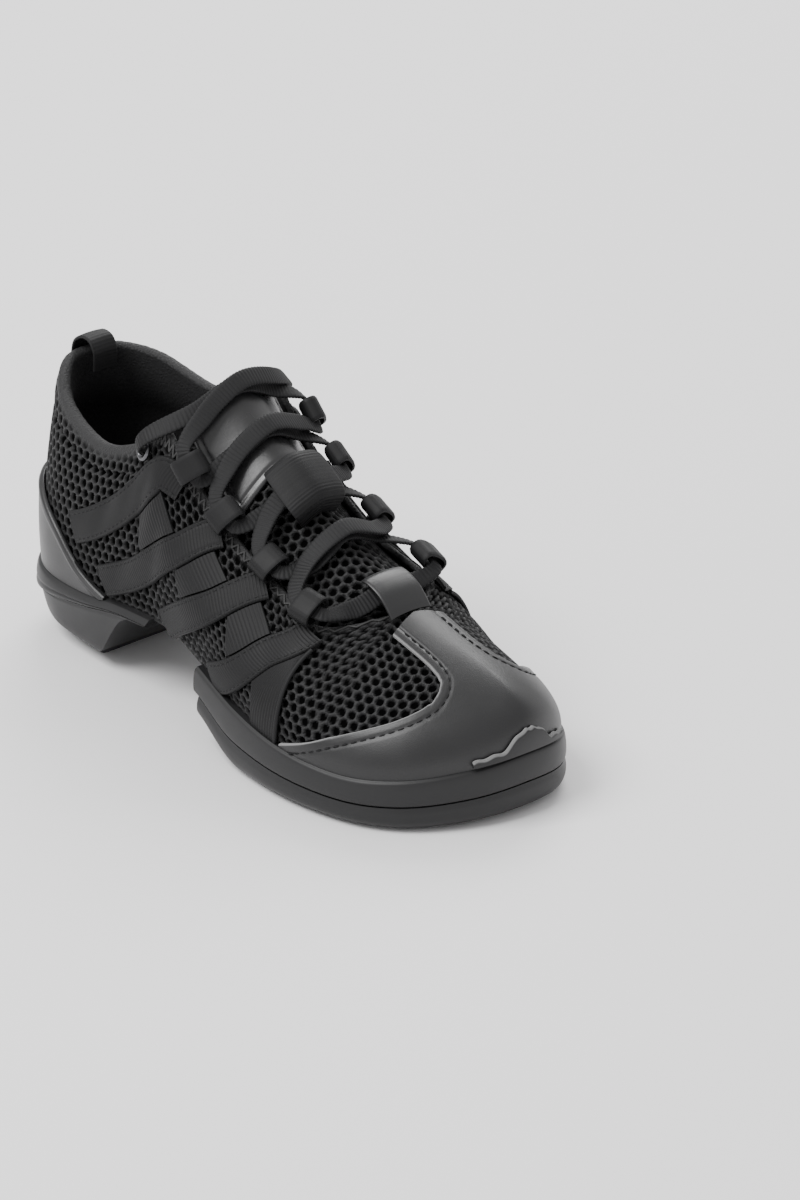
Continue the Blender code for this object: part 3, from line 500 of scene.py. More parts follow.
def creases(t, v):
    """Lift of the soft folds: for each, a bell across its line times a bell along it."""
    lift = 0.0
    for fold in CREASES:
        across = (t - fold.t - fold.lean * (v - fold.v)) / fold.width
        along = (v - fold.v) / 0.30
        bell = np.exp(-across**2) - 0.45 * np.exp(-((across - 2.1) ** 2))
        lift = lift - fold.depth * MM * bell * np.exp(-along**2)
    return lift


def skin_grid(t, v, side, lift):
    """Grid on the last at t and v, raised by the lift and the creases."""
    t, v = np.broadcast_arrays(np.asarray(t, float), np.asarray(v, float))
    return skin(t, v, side, lift + creases(t, v))


def refine_matrix(count, query):
    """Weights of the smooth curve through a number of even knots, one row for each query."""
    knots = np.linspace(0.0, 1.0, count)
    return np.stack([spline(knots, row, query) for row in np.eye(count)], 1)


def refine(grid, rows, columns):
    """The grid read again on finer rows and columns, by the smooth curve both ways."""
    grid = np.asarray(grid, float)
    down = refine_matrix(grid.shape[0], np.linspace(0, 1, rows))
    over = refine_matrix(grid.shape[1], np.linspace(0, 1, columns))
    return np.einsum("ri,ijk,cj->rck", down, grid, over)


def run_lengths(points, axis):
    """Length along one way of a grid from its first line: the sum of the steps."""
    step = np.linalg.norm(np.diff(points, axis=axis), axis=-1)
    start = np.zeros_like(np.take(step, [0], axis=axis))
    return np.concatenate([start, np.cumsum(step, axis=axis)], axis=axis)


def grid_quads(rows, columns, around_rows=False, around_columns=False):
    """Corner numbers of a grid's quads, closed either way where asked."""
    i = np.arange(rows if around_rows else rows - 1)[:, None]
    j = np.arange(columns if around_columns else columns - 1)[None, :]
    i_next = (i + 1) % rows
    j_next = (j + 1) % columns
    corners = (i * columns + j, i * columns + j_next, i_next * columns + j_next,
               i_next * columns + j)
    return np.stack(np.broadcast_arrays(*corners), -1).reshape(-1, 4)


def open_edges(points, quads):
    """Directed edges that only one quad has, with points at one place counted as one."""
    _, place = np.unique(np.round(points / (0.02 * MM)), axis=0, return_inverse=True)
    place = place.reshape(-1)
    start = quads.reshape(-1)
    end = np.roll(quads, -1, axis=1).reshape(-1)
    low = np.minimum(place[start], place[end])
    high = np.maximum(place[start], place[end])
    key = low.astype(np.int64) * (len(points) + 1) + high
    _, where, times = np.unique(key, return_inverse=True, return_counts=True)
    alone = (times[where.reshape(-1)] == 1) & (low != high)
    return start[alone], end[alone]


def add_piece(name, points, faces, look, stands_for, marks=None, sharp=48.0, merge=True):
    """One mesh object from arrays, with doubles merged and faces outward, on the root body."""
    mesh = bpy.data.meshes.new(name)
    points = np.asarray(points, float).reshape(-1, 3)
    faces = faces.tolist() if isinstance(faces, np.ndarray) else faces
    mesh.from_pydata(points.tolist(), [], faces)
    for mark, values in (marks or {}).items():
        layer = mesh.attributes.new(mark, "FLOAT", "POINT")
        layer.data.foreach_set("value", np.asarray(values, np.float32).reshape(-1))
    work = bmesh.new()
    work.from_mesh(mesh)
    if merge:
        bmesh.ops.remove_doubles(work, verts=work.verts, dist=0.012 * MM)
        bmesh.ops.dissolve_degenerate(work, edges=work.edges, dist=0.004 * MM)
    bmesh.ops.recalc_face_normals(work, faces=work.faces)
    work.to_mesh(mesh)
    work.free()
    mesh.shade_smooth()
    mesh.set_sharp_from_angle(angle=math.radians(sharp))
    mesh.materials.append(finish(look))
    piece = bpy.data.objects.new(name, mesh)
    bpy.context.scene.collection.objects.link(piece)
    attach(piece, "root")
    if stands_for:
        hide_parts(*stands_for)


def add_sheet(name, outer, inner, quads, look, stands_for, marks=None, sharp=48.0):
    """A closed sheet: an outer and an inner skin, joined by a wall along every open edge."""
    outer = np.asarray(outer, float).reshape(-1, 3)
    inner = np.asarray(inner, float).reshape(-1, 3)
    count = len(outer)
    start, end = open_edges(outer, quads)
    walls = np.stack([end, start, start + count, end + count], -1)
    faces = np.concatenate([quads, quads[:, ::-1] + count, walls])
    both = {mark: np.concatenate([np.reshape(v, -1)] * 2) for mark, v in (marks or {}).items()}
    add_piece(name, np.concatenate([outer, inner]), faces, look, stands_for, both, sharp)


def rounded(across, width, radius):
    """How full an edge is, from 0 at the edge to 1 a radius inside: a quarter circle."""
    inside = np.minimum(across, 1 - across) * width
    short = np.clip(1 - inside / radius, 0, 1)
    return np.sqrt(np.clip(1 - short**2, 0, 1))


def squared(value, power):
    """A sine or cosine raised to a power with its sign kept, which squares an oval's corners."""
    return np.sign(value) * np.abs(value) ** power


def tube(points, ups, half_wide, half_high, sides, square=1.0):
    """Rings of a flat cord: an oval of the two half sizes, turned with the path."""
    along = unit(np.gradient(points, axis=0))
    across = unit(np.cross(ups, along))
    ups = np.cross(along, across)
    turn = 2 * math.pi * (np.arange(sides) + 0.5) / sides
    wide = squared(np.cos(turn), square)
    high = squared(np.sin(turn), square)
    return (points[:, None] + across[:, None] * (wide * half_wide)[..., None]
            + ups[:, None] * (high * half_high)[..., None])


def tube_faces(rings, sides):
    """Quads round a tube's rings, and a face on each end."""
    faces = grid_quads(rings, sides, around_columns=True).tolist()
    faces.append(list(range(sides))[::-1])
    faces.append(list(range((rings - 1) * sides, rings * sides)))
    return faces


def add_stitches(name, path, ups, length=2.3, gap=0.9, radius=0.26, sink=0.10):
    """A row of threads: each a short oval bead along the path, its ends tucked in.

    Lengths are in millimetres. A bead is six rings of the radius times size, raised by lift.
    """
    run = run_lengths(path, 0)
    count = max(2, int(run[-1] / ((length + gap) * MM)))
    pitch = run[-1] / count
    share = np.array([0.0, 0.12, 0.35, 0.65, 0.88, 1.0])
    size = np.array([0.35, 0.85, 1.0, 1.0, 0.85, 0.35])
    lift = np.array([-1.0, 0.1, 0.55, 0.55, 0.1, -1.0])
    place = (np.arange(count)[:, None] + share[None, :] * length / (length + gap)) * pitch
    flat = place.ravel()
    middle = path_at(flat, run, path)
    up = path_at(flat, run, ups)
    along = unit(path_at(flat + 0.2 * MM, run, path) - path_at(flat - 0.2 * MM, run, path))
    across = unit(np.cross(up, along))
    sides = 6
    turn = 2 * math.pi * np.arange(sides) / sides
    scale = np.tile(size, count)[:, None, None] * radius * MM
    centre = middle + up * (np.tile(lift, count)[:, None] * radius - sink) * MM
    rings = centre[:, None] + (across[:, None] * np.cos(turn)[None, :, None]
                               + up[:, None] * np.sin(turn)[None, :, None]) * scale
    one = np.array(tube_faces(len(share), sides)[:-2])
    block = len(share) * sides
    base = (np.arange(count) * block)[:, None, None]
    faces = (one[None] + base).reshape(-1, 4).tolist()
    low = (np.arange(sides)[::-1][None] + np.arange(count)[:, None] * block).tolist()
    top = (np.arange(block - sides, block)[None] + np.arange(count)[:, None] * block).tolist()
    add_piece(name, rings, faces + low + top, "thread", (), merge=False)


# Finishes


def new_material(name):
    """An empty material with its shader and output."""
    made = bpy.data.materials.new(name)
    made.use_nodes = True
    tree = made.node_tree
    return made, tree, tree.nodes["Principled BSDF"]


def noise(tree, vector, scale, detail=3.0, rough=0.55):
    """A noise of a given number of cells in a metre."""
    node = tree.nodes.new("ShaderNodeTexNoise")
    node.inputs["Scale"].default_value = scale
    node.inputs["Detail"].default_value = detail
    node.inputs["Roughness"].default_value = rough
    tree.links.new(vector, node.inputs["Vector"])
    return node.outputs["Fac"]


def math_node(tree, kind, first, second):
    """A sum, product or the like of sockets and numbers."""
    node = tree.nodes.new("ShaderNodeMath")
    node.operation = kind
    for socket, value in zip(node.inputs, (first, second)):
        if isinstance(value, (int, float)):
            socket.default_value = value
        else:
            tree.links.new(value, socket)
    return node.outputs[0]


def blend_colour(tree, factor, first, second):
    """Two colours, sockets or numbers, mixed by a factor."""
    node = tree.nodes.new("ShaderNodeMix")
    node.data_type = "RGBA"
    tree.links.new(factor, node.inputs[0])
    for socket, value in ((node.inputs[6], first), (node.inputs[7], second)):
        if isinstance(value, bpy.types.NodeSocket):
            tree.links.new(value, socket)
        else:
            socket.default_value = (*value, 1.0)
    return node.outputs[2]


def ramp(tree, value, low, high, low_to, high_to):
    """A value carried from one range to another, held at its ends."""
    node = tree.nodes.new("ShaderNodeMapRange")
    tree.links.new(value, node.inputs[0])
    for socket, number in zip(node.inputs[1:5], (low, high, low_to, high_to)):
        socket.default_value = number
    return node.outputs[0]


def make_finish(name, colour, roughness, grain, depth, mottle=0.25, marks=(), coat=0.0,
                metallic=0.0, cells=0.0, cell_depth=0.0, specular=0.5):
    """A finish: colour with slow mottling, fine grain as bump, and colours on marked parts, which
    paint shade in holes and a highlight on rims.

    The first mark also takes the shine off. Cells add a bump of pebbles or knit.
    """
    made, tree, shader = new_material(name)
    where = tree.nodes.new("ShaderNodeTexCoord").outputs["Object"]
    slow = noise(tree, where, 38.0, 4.0)
    fine = noise(tree, where, grain, 3.0)
    dark = tuple(c * (1 - mottle) for c in colour)
    light = tuple(c * (1 + mottle) for c in colour)
    shade = blend_colour(tree, ramp(tree, slow, 0.32, 0.68, 0.0, 1.0), dark, light)
    gloss = ramp(tree, slow, 0.3, 0.7, roughness - 0.05, roughness + 0.06)
    shine = None
    for mark, tint in marks:
        seen = tree.nodes.new("ShaderNodeAttribute")
        seen.attribute_name = mark
        shade = blend_colour(tree, seen.outputs["Fac"], shade, tint)
        gloss = math_node(tree, "MAXIMUM", gloss,
                          math_node(tree, "MULTIPLY", seen.outputs["Fac"], 0.85))
        if shine is None:
            matt = ramp(tree, seen.outputs["Fac"], 0.0, 1.0, 1.0, 0.05)
            shine = math_node(tree, "MULTIPLY", matt, specular)
    tree.links.new(shade, shader.inputs["Base Color"])
    tree.links.new(gloss, shader.inputs["Roughness"])
    shader.inputs["Metallic"].default_value = metallic
    shader.inputs["Specular IOR Level"].default_value = specular
    if shine is not None:
        tree.links.new(shine, shader.inputs["Specular IOR Level"])
    shader.inputs["Coat Weight"].default_value = coat
    shader.inputs["Coat Roughness"].default_value = 0.28
    bump = tree.nodes.new("ShaderNodeBump")
    bump.inputs["Strength"].default_value = 1.0
    bump.inputs["Distance"].default_value = depth * MM
    tree.links.new(fine, bump.inputs["Height"])
    if cells:
        pebble = tree.nodes.new("ShaderNodeTexVoronoi")
        pebble.feature = "DISTANCE_TO_EDGE"
        pebble.inputs["Scale"].default_value = cells
        tree.links.new(where, pebble.inputs["Vector"])
        grain_bump = tree.nodes.new("ShaderNodeBump")
        grain_bump.inputs["Strength"].default_value = 1.0
        grain_bump.inputs["Distance"].default_value = cell_depth * MM
        tree.links.new(ramp(tree, pebble.outputs["Distance"], 0.0, 0.35, 0.0, 1.0),
                       grain_bump.inputs["Height"])
        tree.links.new(bump.outputs["Normal"], grain_bump.inputs["Normal"])
        bump = grain_bump
    tree.links.new(bump.outputs["Normal"], shader.inputs["Normal"])
    return made


def finish(name):
    """The named finish, made once from the scene's colours."""
    known = bpy.data.materials.get(name)
    if known:
        return known
    tones = bpy.context.scene.sneaker_colours
    # The edge colour is a painted highlight on rims; the hole colour is painted shade in the
    # mesh's holes.
    lit_rim = tuple(tones.edge_highlight)
    hole_shade = tuple(tones.hole)
    inside = tuple(tones.lining)
    table = {
        "air_mesh": dict(colour=tones.mesh, roughness=0.62, grain=2600, depth=0.10, mottle=0.18,
                         marks=(("hole", hole_shade), ("inside", inside)), specular=0.32,
                         cells=760, cell_depth=0.14),
        "satin_leather": dict(colour=tones.leather, roughness=0.40, grain=1500, depth=0.02,
                              mottle=0.10, marks=(("edge", lit_rim),), cells=1900, cell_depth=0.018,
                              coat=0.05, specular=0.42),
        "glossy_leather": dict(colour=tones.leather, roughness=0.27, grain=900, depth=0.03,
                               mottle=0.12, marks=(("edge", lit_rim),), coat=0.35),
        "grosgrain": dict(colour=tones.webbing, roughness=0.58, grain=2400, depth=0.05,
                          mottle=0.16, marks=(("edge", lit_rim),), specular=0.22),
        "sole_rubber": dict(colour=tones.rubber, roughness=0.46, grain=1400, depth=0.02,
                            mottle=0.12, marks=(("edge", lit_rim),), specular=0.36),
        "fine_knit": dict(colour=tones.lining, roughness=0.80, grain=1700, depth=0.12,
                          mottle=0.15, specular=0.15),
        "lace_weave": dict(colour=tones.lace, roughness=0.62, grain=2600, depth=0.06,
                           mottle=0.14, specular=0.24),
        "thread": dict(colour=tones.thread, roughness=0.6, grain=3000, depth=0.05, mottle=0.2,
                       specular=0.2),
        "frayed_thread": dict(colour=tones.frayed, roughness=0.7, grain=3000, depth=0.05,
                              mottle=0.3, specular=0.2),
        "nickel": dict(colour=(0.10, 0.10, 0.105), roughness=0.30, grain=600, depth=0.01,
                       mottle=0.1, metallic=1.0),
    }
    row = table[name]
    row["colour"] = tuple(row["colour"])
    return make_finish(name, **row)


# Pieces

LENGTHS_T = np.linspace(0, 1, 161)
LENGTHS_V = np.linspace(0, 1, 41)
length_tables = {}


def fabric_place(t, v, side):
    """Place on the flat cloth: lengths along and up the side, read between table rows."""
    if side not in length_tables:
        points = last_point(*np.broadcast_arrays(LENGTHS_T[None, :], LENGTHS_V[:, None]), side)
        length_tables[side] = (run_lengths(points, 1), run_lengths(points, 0))
    t, v = np.broadcast_arrays(t, v)
    x = np.clip(t, 0, 1) * (len(LENGTHS_T) - 1)
    y = np.clip(v, 0, 1) * (len(LENGTHS_V) - 1)
    i = np.minimum(x.astype(int), len(LENGTHS_T) - 2)
    j = np.minimum(y.astype(int), len(LENGTHS_V) - 2)
    fx = x - i
    fy = y - j
    out = []
    for table in length_tables[side]:
        low = table[j, i] * (1 - fx) + table[j, i + 1] * fx
        high = table[j + 1, i] * (1 - fx) + table[j + 1, i + 1] * fx
        out.append(low * (1 - fy) + high * fy)
    return out


def hole_share(along, up, sizes):
    """1 in a hole of the mesh and 0 on its yarn: distance to the nearest staggered centre."""
    pitch = sizes.mesh_pitch
    row = pitch * 0.87
    away = []
    for shift in (0.0, 0.5):
        x = along / pitch + shift
        y = up / (2 * row) + shift
        away.append(np.hypot((x - np.round(x)) * pitch, (y - np.round(y)) * 2 * row * 0.92))
    radius = sizes.hole_diameter / 2
    return 1 - smooth((np.minimum(*away) - radius * 0.92) / (radius * 0.36))


def shell_rows(t, side, levels, sizes):
    """Profile rows of the upper from its margin, up the outside, over the rim and back down."""
    low = feather(t, side)
    out = outward(t, side)
    middle = (feather(t, -1) + feather(t, 1)) / 2
    closed = (smooth((t - ARCH_T[0]) / 0.03) * smooth((ARCH_T[1] - t) / 0.03))[:, None]
    edge = (low - out * LASTING_MARGIN) * (1 - closed) + middle * closed
    half = (low + edge) / 2
    rows = [edge, half]
    grid_t, grid_v = np.broadcast_arrays(t[None, :], levels[:, None])
    along, high = fabric_place(grid_t, grid_v, side)
    fade = smooth((1.0 - grid_v) / 0.09) * smooth(grid_v / 0.02)
    pits = hole_share(along, high, sizes) * np.where(grid_t > 0.695, 1.0, fade)
    collar = smooth((COLLAR_FRONT_T - grid_t) / 0.04)
    roll = np.exp(-((grid_v - COLLAR_SEAM_V) / 0.013) ** 2) * collar
    puff = np.exp(-((grid_v - COLLAR_PUFF_V) / 0.05) ** 2) * collar
    lift = sizes.roll_height * (0.5 * puff - roll)
    skins = skin_grid(grid_t, grid_v, side, lift - sizes.hole_depth * pits)
    rows += list(skins)
    thick = wall_thickness(t, np.ones_like(t))
    radius = (thick / 2 * smooth((THROAT_BASE_T - t) / 0.015))[:, None]
    top = skins[-1]
    rise = unit(top - skins[-4])
    face = normal(t, np.ones_like(t), side)
    core = top - face * thick[:, None] / 2
    for angle in np.linspace(0, math.pi, 8)[1:-1]:
        rows.append(core + face * math.cos(angle) * thick[:, None] / 2
                    + rise * math.sin(angle) * radius)
    for level in np.linspace(1, 0, 14)[:-1]:
        height = np.full_like(t, level)
        rows.append(skin(t, height, side, -wall_thickness(t, height)))
    rows += [low - out * WALL + UP * WALL, half + UP * WALL, edge + UP * WALL]
    hole = np.zeros((len(rows), len(t)))
    # The hole mark is where the finish paints shade into the mesh's holes.
    hole[2:2 + len(levels)] = pits
    return np.array(rows), hole


def add_shell(name, rows, quads, hole, outside):
    """A part of the upper: its rows closed at both ends, and its inside from the rim's crown."""
    columns = rows.shape[1]
    ends = np.arange(len(rows)) * columns
    faces = quads.tolist() + [ends.tolist(), (ends + columns - 1)[::-1].tolist()]
    inside = np.zeros_like(hole)
    inside[outside + 7:] = 1.0
    add_piece(name, rows, faces, "air_mesh", ("upper",),
              marks={"hole": hole, "inside": inside}, sharp=70)


def make_quarter(word, sizes):
    """Back part of the upper on one side: the profile rows carried from the heel to the vamp."""
    side = SIDES[word]
    t = np.concatenate([np.linspace(0, 0.40, 200)[:-1], np.linspace(0.40, SHELL_SPLIT_T, 150)])
    levels = np.linspace(0, 1, 176)
    rows, hole = shell_rows(t, side, levels, sizes)
    quads = grid_quads(len(rows), len(t), around_rows=True)
    add_shell("quarter_" + word, rows, quads, hole, len(levels))


def make_vamp(sizes):
    """Front of the upper: the profile rows carried round the toe from side to side."""
    t = np.sort(np.append(np.linspace(SHELL_SPLIT_T, 1.0, 170), THROAT_BASE_T))
    levels = np.linspace(0, 1, 110)
    left, hole_left = shell_rows(t, -1, levels, sizes)
    right, hole_right = shell_rows(t, 1, levels, sizes)
    rows = np.concatenate([left, right[:, ::-1]], 1)
    hole = np.concatenate([hole_left, hole_right[:, ::-1]], 1)
    columns = rows.shape[1]
    quads = grid_quads(len(rows), columns, around_rows=True)
    all_t = np.concatenate([t, t[::-1]])
    row = quads // columns
    wall = (row >= len(levels) + 1) & (row <= len(levels) + 8)
    ridge = on_ridge(all_t[quads % columns])
    add_shell("vamp", rows, quads[~(wall & ridge).all(1)], hole, len(levels))


def ribbed(length, pitch, depth):
    """Height of grosgrain ribs: a rounded wave along a length."""
    return depth * (np.abs(np.cos(math.pi * length / pitch)) - 0.5)


def make_stripe(word, number, sizes):
    """A tape from the throat to the foot: its two edges joined across, ribs along its length."""
    side = SIDES[word]
    front, rear = strap_edges(STRIPES[number - 1], side, STRIPE_WIDTH / 2)
    s = np.linspace(0, 1, 60)
    u = np.linspace(0, 1, 13)[None, :]
    edges = [np.interp(s, EDGE_S, edge)[:, None] for edge in (*front, *rear)]
    t = edges[0] * (1 - u) + edges[2] * u
    v = np.clip(edges[1] * (1 - u) + edges[3] * u, 0.005, 0.995)
    flat = skin_grid(t, v, side, TAPE_SEAT)
    up = normal(t, v, side)
    rows, columns = 300, 25
    across = np.linspace(0, 1, columns)[None, :]
    low = refine(flat, rows, columns)
    up = refine(up, rows, columns)
    full = rounded(across, STRIPE_WIDTH, 0.7 * MM)
    inset = np.minimum(across, 1 - across) * STRIPE_WIDTH
    seam = np.exp(-((inset - TAPE_STITCH_INSET) / (0.35 * MM)) ** 2)
    high = TAPE * (0.45 + 0.55 * full) - 0.22 * MM * seam
    high = high + ribbed(run_lengths(low, 0), sizes.rib_pitch, sizes.rib_depth) * full
    name = "stripe_{}_{}".format(word, number)
    add_sheet(name + "_tape", low + up * high[..., None], low, grid_quads(rows, columns),
              "grosgrain", (name,))
    for line, column in enumerate((3, 21)):
        path = low[4:-4, column] + up[4:-4, column] * (TAPE * 0.92)
        add_stitches("{}_thread_{}".format(name, line), path, up[4:-4, column],
                     length=1.9, gap=0.8, radius=0.2)


def band_grid(word, number, rows, columns):
    """The t and v of a ribbed band between two stripes, joined across from edge to edge."""
    side = SIDES[word]
    w = np.linspace(0, 1, rows)[:, None]
    u = np.linspace(0, 1, columns)[None, :]
    if number < 4:
        band = BANDS[number - 1]
        reach = STRIPE_WIDTH / 2 + SEAT
        rear_edge = strap_edges(STRIPES[number - 1], side, reach)[0]
        front_edge = strap_edges(STRIPES[number], side, reach)[1]
        back = band.rear_from + (band.rear_to - band.rear_from) * w
        fore = band.front_from + (band.front_to - band.front_from) * w
        t, v = (np.interp(back, EDGE_S, rear) * (1 - u) + np.interp(fore, EDGE_S, front) * u
                for rear, front in zip(rear_edge, front_edge))
        return t, np.clip(v, 0.005, 0.99)
    edge = strap_edges(STRIPES[-1], side, STRIPE_WIDTH / 2 + GAP)[0]
    high = FRONT_BAND.rear_from + (FRONT_BAND.rear_to - FRONT_BAND.rear_from) * w
    low = FRONT_BAND.front_from + (FRONT_BAND.front_to - FRONT_BAND.front_from) * w
    t = np.interp(high, EDGE_S, edge[0]) * (1 - u) + low * u
    return t, np.interp(high, EDGE_S, edge[1]) * (1 - u) + 0.012 * u


def make_band(word, number, sizes):
    """A ribbed band between stripes, its ribs running from stripe to stripe."""
    t, v = band_grid(word, number, 12, 24)
    side = SIDES[word]
    rows, columns = 90, 90
    low = refine(skin_grid(t, v, side, SEAT), rows, columns)
    up = refine(normal(t, v, side), rows, columns)
    down = run_lengths(low, 0)
    width = down[-1:].mean()
    share = np.linspace(0, 1, rows)[:, None]
    full = rounded(share, width, 0.6 * MM)
    high = BAND_THICK * (0.4 + 0.6 * full)
    high = high + ribbed(down, sizes.rib_pitch * 1.15, sizes.rib_depth) * full
    name = "band_{}_{}".format(word, number)
    add_sheet(name + "_ribs", low + up * high[..., None], low, grid_quads(rows, columns),
              "grosgrain", (name,))


def make_piping(word):
    """Piping down the front band's free edge: a round cord along the edge of its grid."""
    side = SIDES[word]
    t, v = band_grid(word, 4, 12, 24)
    edge_t, edge_v = (t[0], v[0]) if t[0].mean() > t[-1].mean() else (t[-1], v[-1])
    share = np.linspace(0, 23, 120)
    edge_t = np.interp(share, np.arange(24), edge_t)
    edge_v = np.interp(share, np.arange(24), edge_v)
    path = skin_grid(edge_t, edge_v, side, SEAT + 0.5 * MM)
    up = normal(np.full(120, edge_t.mean()), np.full(120, 0.4), side)
    rings = tube(path, up, 0.85 * MM, 0.75 * MM, 12)
    add_piece("band_piping_" + word, rings, tube_faces(len(rings), 12), "lace_weave",
              ())


def edge_distance(t, v, edge_v, side):
    """Length on the last from v to an edge above it: the step in v times its local size."""
    step = 0.01
    size = np.linalg.norm(last_point(t, np.clip(v + step, 0, 1), side)
                          - last_point(t, np.clip(v - step, 0, 1), side), axis=-1)
    size /= np.clip(v + step, 0, 1) - np.clip(v - step, 0, 1)
    return np.abs(edge_v - v) * size


def nearest(points, line):
    """Length from each point to the nearest point of a line."""
    flat = points.reshape(-1, 3)
    gaps = [np.linalg.norm(flat[:, None] - line[None], axis=-1).min(1)
            for flat in np.array_split(flat, 12)]
    return np.concatenate(gaps).reshape(points.shape[:-1])


def packed(count):
    """Shares from 0 to 1 with two close steps at either end, for an edge's thin rim."""
    close = 0.03
    inner = np.linspace(close * 2, 1 - close * 2, count - 4)
    return np.concatenate([[0.0, close], inner, [1 - close, 1.0]])


def make_toe_cap():
    """Toe cap: rows below and above the windows on both sides, with each window left out."""
    tip = WINDOW_LOW[-1][0]
    near_tip = tip - (tip - WINDOW_HIGH[0][0]) * np.linspace(1, 0, 64) ** 1.7
    t = np.concatenate([np.linspace(WINDOW_LOW[0][0], WINDOW_HIGH[0][0], 40)[:-1],
                        near_tip[:-1], np.linspace(tip, 1.0, 76)])
    edge_t = np.concatenate([t[t < tip], [tip], t[t < tip][::-1]])
    lower_side = np.arange(len(edge_t)) < len(edge_t) // 2
    edge_line = np.where(lower_side, on_edge(WINDOW_LOW, edge_t), on_edge(WINDOW_HIGH, edge_t))
    kept = lower_side | (edge_t >= WINDOW_HIGH[0][0])
    edge_t = edge_t[kept]
    edge_line = edge_line[kept]
    shares = packed(30)
    grids = []
    marks = []
    quads = []
    start = 0
    for side in (-1, 1):
        edge_low = np.where(t < tip, on_edge(WINDOW_LOW, t), WINDOW_LOW[-1][1])
        edge_high = np.where(t < tip, on_edge(WINDOW_HIGH, t), WINDOW_HIGH[-1][1])
        lower = 0.004 + shares[:, None] * (edge_low[None, :] - 0.004)
        upper = edge_high[None, :] + shares[:, None] * (1 - edge_high[None, :])
        for part, level in enumerate((lower, upper)):
            grid_t = np.broadcast_to(t, level.shape)
            away = nearest(last_point(grid_t, level, side), last_point(edge_t, edge_line, side))
            # The rim along the window's edge dips and takes a painted highlight in light grey.
            lit_rim = 1 - smooth((away - RIM_FLAT) / (0.40 * MM))
            seam = np.exp(-((away - STITCH_INSET) / (0.55 * MM)) ** 2)
            lift = SEAT + LEATHER - 0.35 * MM * seam - 0.25 * MM * lit_rim
            grids.append((grid_t, level, side, lift))
            marks.append(lit_rim)
            block = grid_quads(len(level), len(t)) + start
            if part == 1:
                inside = t[(block - start) % len(t)] >= WINDOW_HIGH[0][0] - 1e-6
                block = block[inside.all(1)]
            quads.append(block if side < 0 else block[:, ::-1])
            start += level.size
    outer = np.concatenate([skin_grid(*grid).reshape(-1, 3) for grid in grids])
    inner = np.concatenate([skin_grid(*grid[:3], SEAT).reshape(-1, 3) for grid in grids])
    mark = np.concatenate([m.reshape(-1) for m in marks])
    add_sheet("toe_cap_leather", outer, inner, np.concatenate(quads), "satin_leather",
              ("toe_cap",), marks={"edge": mark}, sharp=60)
    for word, side in SIDES.items():
        low_t = tip - (tip - WINDOW_LOW[0][0] - 0.008) * np.linspace(1, 0, 130) ** 1.5
        high_t = tip - (tip - WINDOW_HIGH[0][0] - 0.002) * np.linspace(0, 1, 100)[1:] ** 1.5
        run_t = np.concatenate([low_t, high_t])
        run_v = np.concatenate([on_edge(WINDOW_LOW, low_t), on_edge(WINDOW_HIGH, high_t)])
        rim = last_point(run_t, run_v, side)
        face = normal(run_t, run_v, side)
        inward = unit(np.cross(face, np.gradient(rim, axis=0)))
        turn = np.sign((inward * (rim - rim.mean(0))).sum(-1).mean())
        path = rim + inward * turn * STITCH_INSET + face * (SEAT + LEATHER - 0.2 * MM)
        path = np.stack([np.convolve(np.pad(path[:, k], 6, "edge"), np.ones(13) / 13, "valid")
                         for k in range(3)], -1)
        add_stitches("toe_cap_thread_" + word, path, face)


def make_wraps():
    """Heel counter and toe bumper: sheets from the feather edge up to their drawn edges."""
    counter_t = np.linspace(COUNTER_TOP[-1][0], 0, 130)
    bumper_t = np.linspace(BUMPER_TOP[0][0], 1, 120)
    rows = (
        ("heel_counter", "heel_counter_shell", COUNTER_TOP, counter_t, 0.015, SEAT,
         "satin_leather", "satin", 0.0),
        ("toe_bumper", "toe_bumper_rubber", BUMPER_TOP, bumper_t, 0.06, SEAT + LEATHER + GAP,
         "sole_rubber", "rubber", 1.0),
    )
    shares = packed(26)
    for node, name, edge, t, low, base, look, slot, ragged in rows:
        outer = []
        inner = []
        marks = []
        for side in (-1, 1):
            jag = ragged * 0.030 * (np.sin(t * 190) * 0.45 + np.sin(t * 83 + 1.0))
            jag = jag * smooth((1.0 - t) / 0.01)
            top = on_edge(edge, t) + jag
            level = low + (top[None, :] - low) * shares[:, None]
            grid_t = np.broadcast_to(t, level.shape)
            away = edge_distance(grid_t, level, top[None, :], side)
            rim = 1 - smooth((away - RIM_FLAT) / (0.55 * MM))
            lift = base + RUBBER_SKIN * (1 - 0.45 * rim)
            lift = lift + 0.35 * MM * np.exp(-((away - 2.2 * MM) / (0.8 * MM)) ** 2) * (1 - ragged)
            turn = slice(None, None, 1 if side < 0 else -1)
            outer.append(skin_grid(grid_t, level, side, lift)[:, turn])
            inner.append(skin_grid(grid_t, level, side, base)[:, turn])
            # On the bumper the rim takes a painted highlight in light grey; on the counter this
            # mark is zero.
            marks.append((rim * ragged * 0.8)[:, turn])
        outer = np.concatenate(outer, 1)
        inner = np.concatenate(inner, 1)
        add_sheet(name, outer, inner, grid_quads(*outer.shape[:2]), look, (node,),
                  marks={"edge": np.concatenate(marks, 1)}, sharp=60)


def stack_faces(rows):
    """Quads round a stack of rings, and a row of quads from side to side on each end."""
    count = rows.shape[1]
    i = np.arange(count // 2 - 1)
    far = count - 1 - i
    last = (len(rows) - 1) * count
    bottom = np.stack([i, far, far - 1, i + 1], -1)
    top = np.stack([last + i, last + i + 1, last + far - 1, last + far], -1)
    return np.concatenate([grid_quads(len(rows), count, around_columns=True), bottom, top])


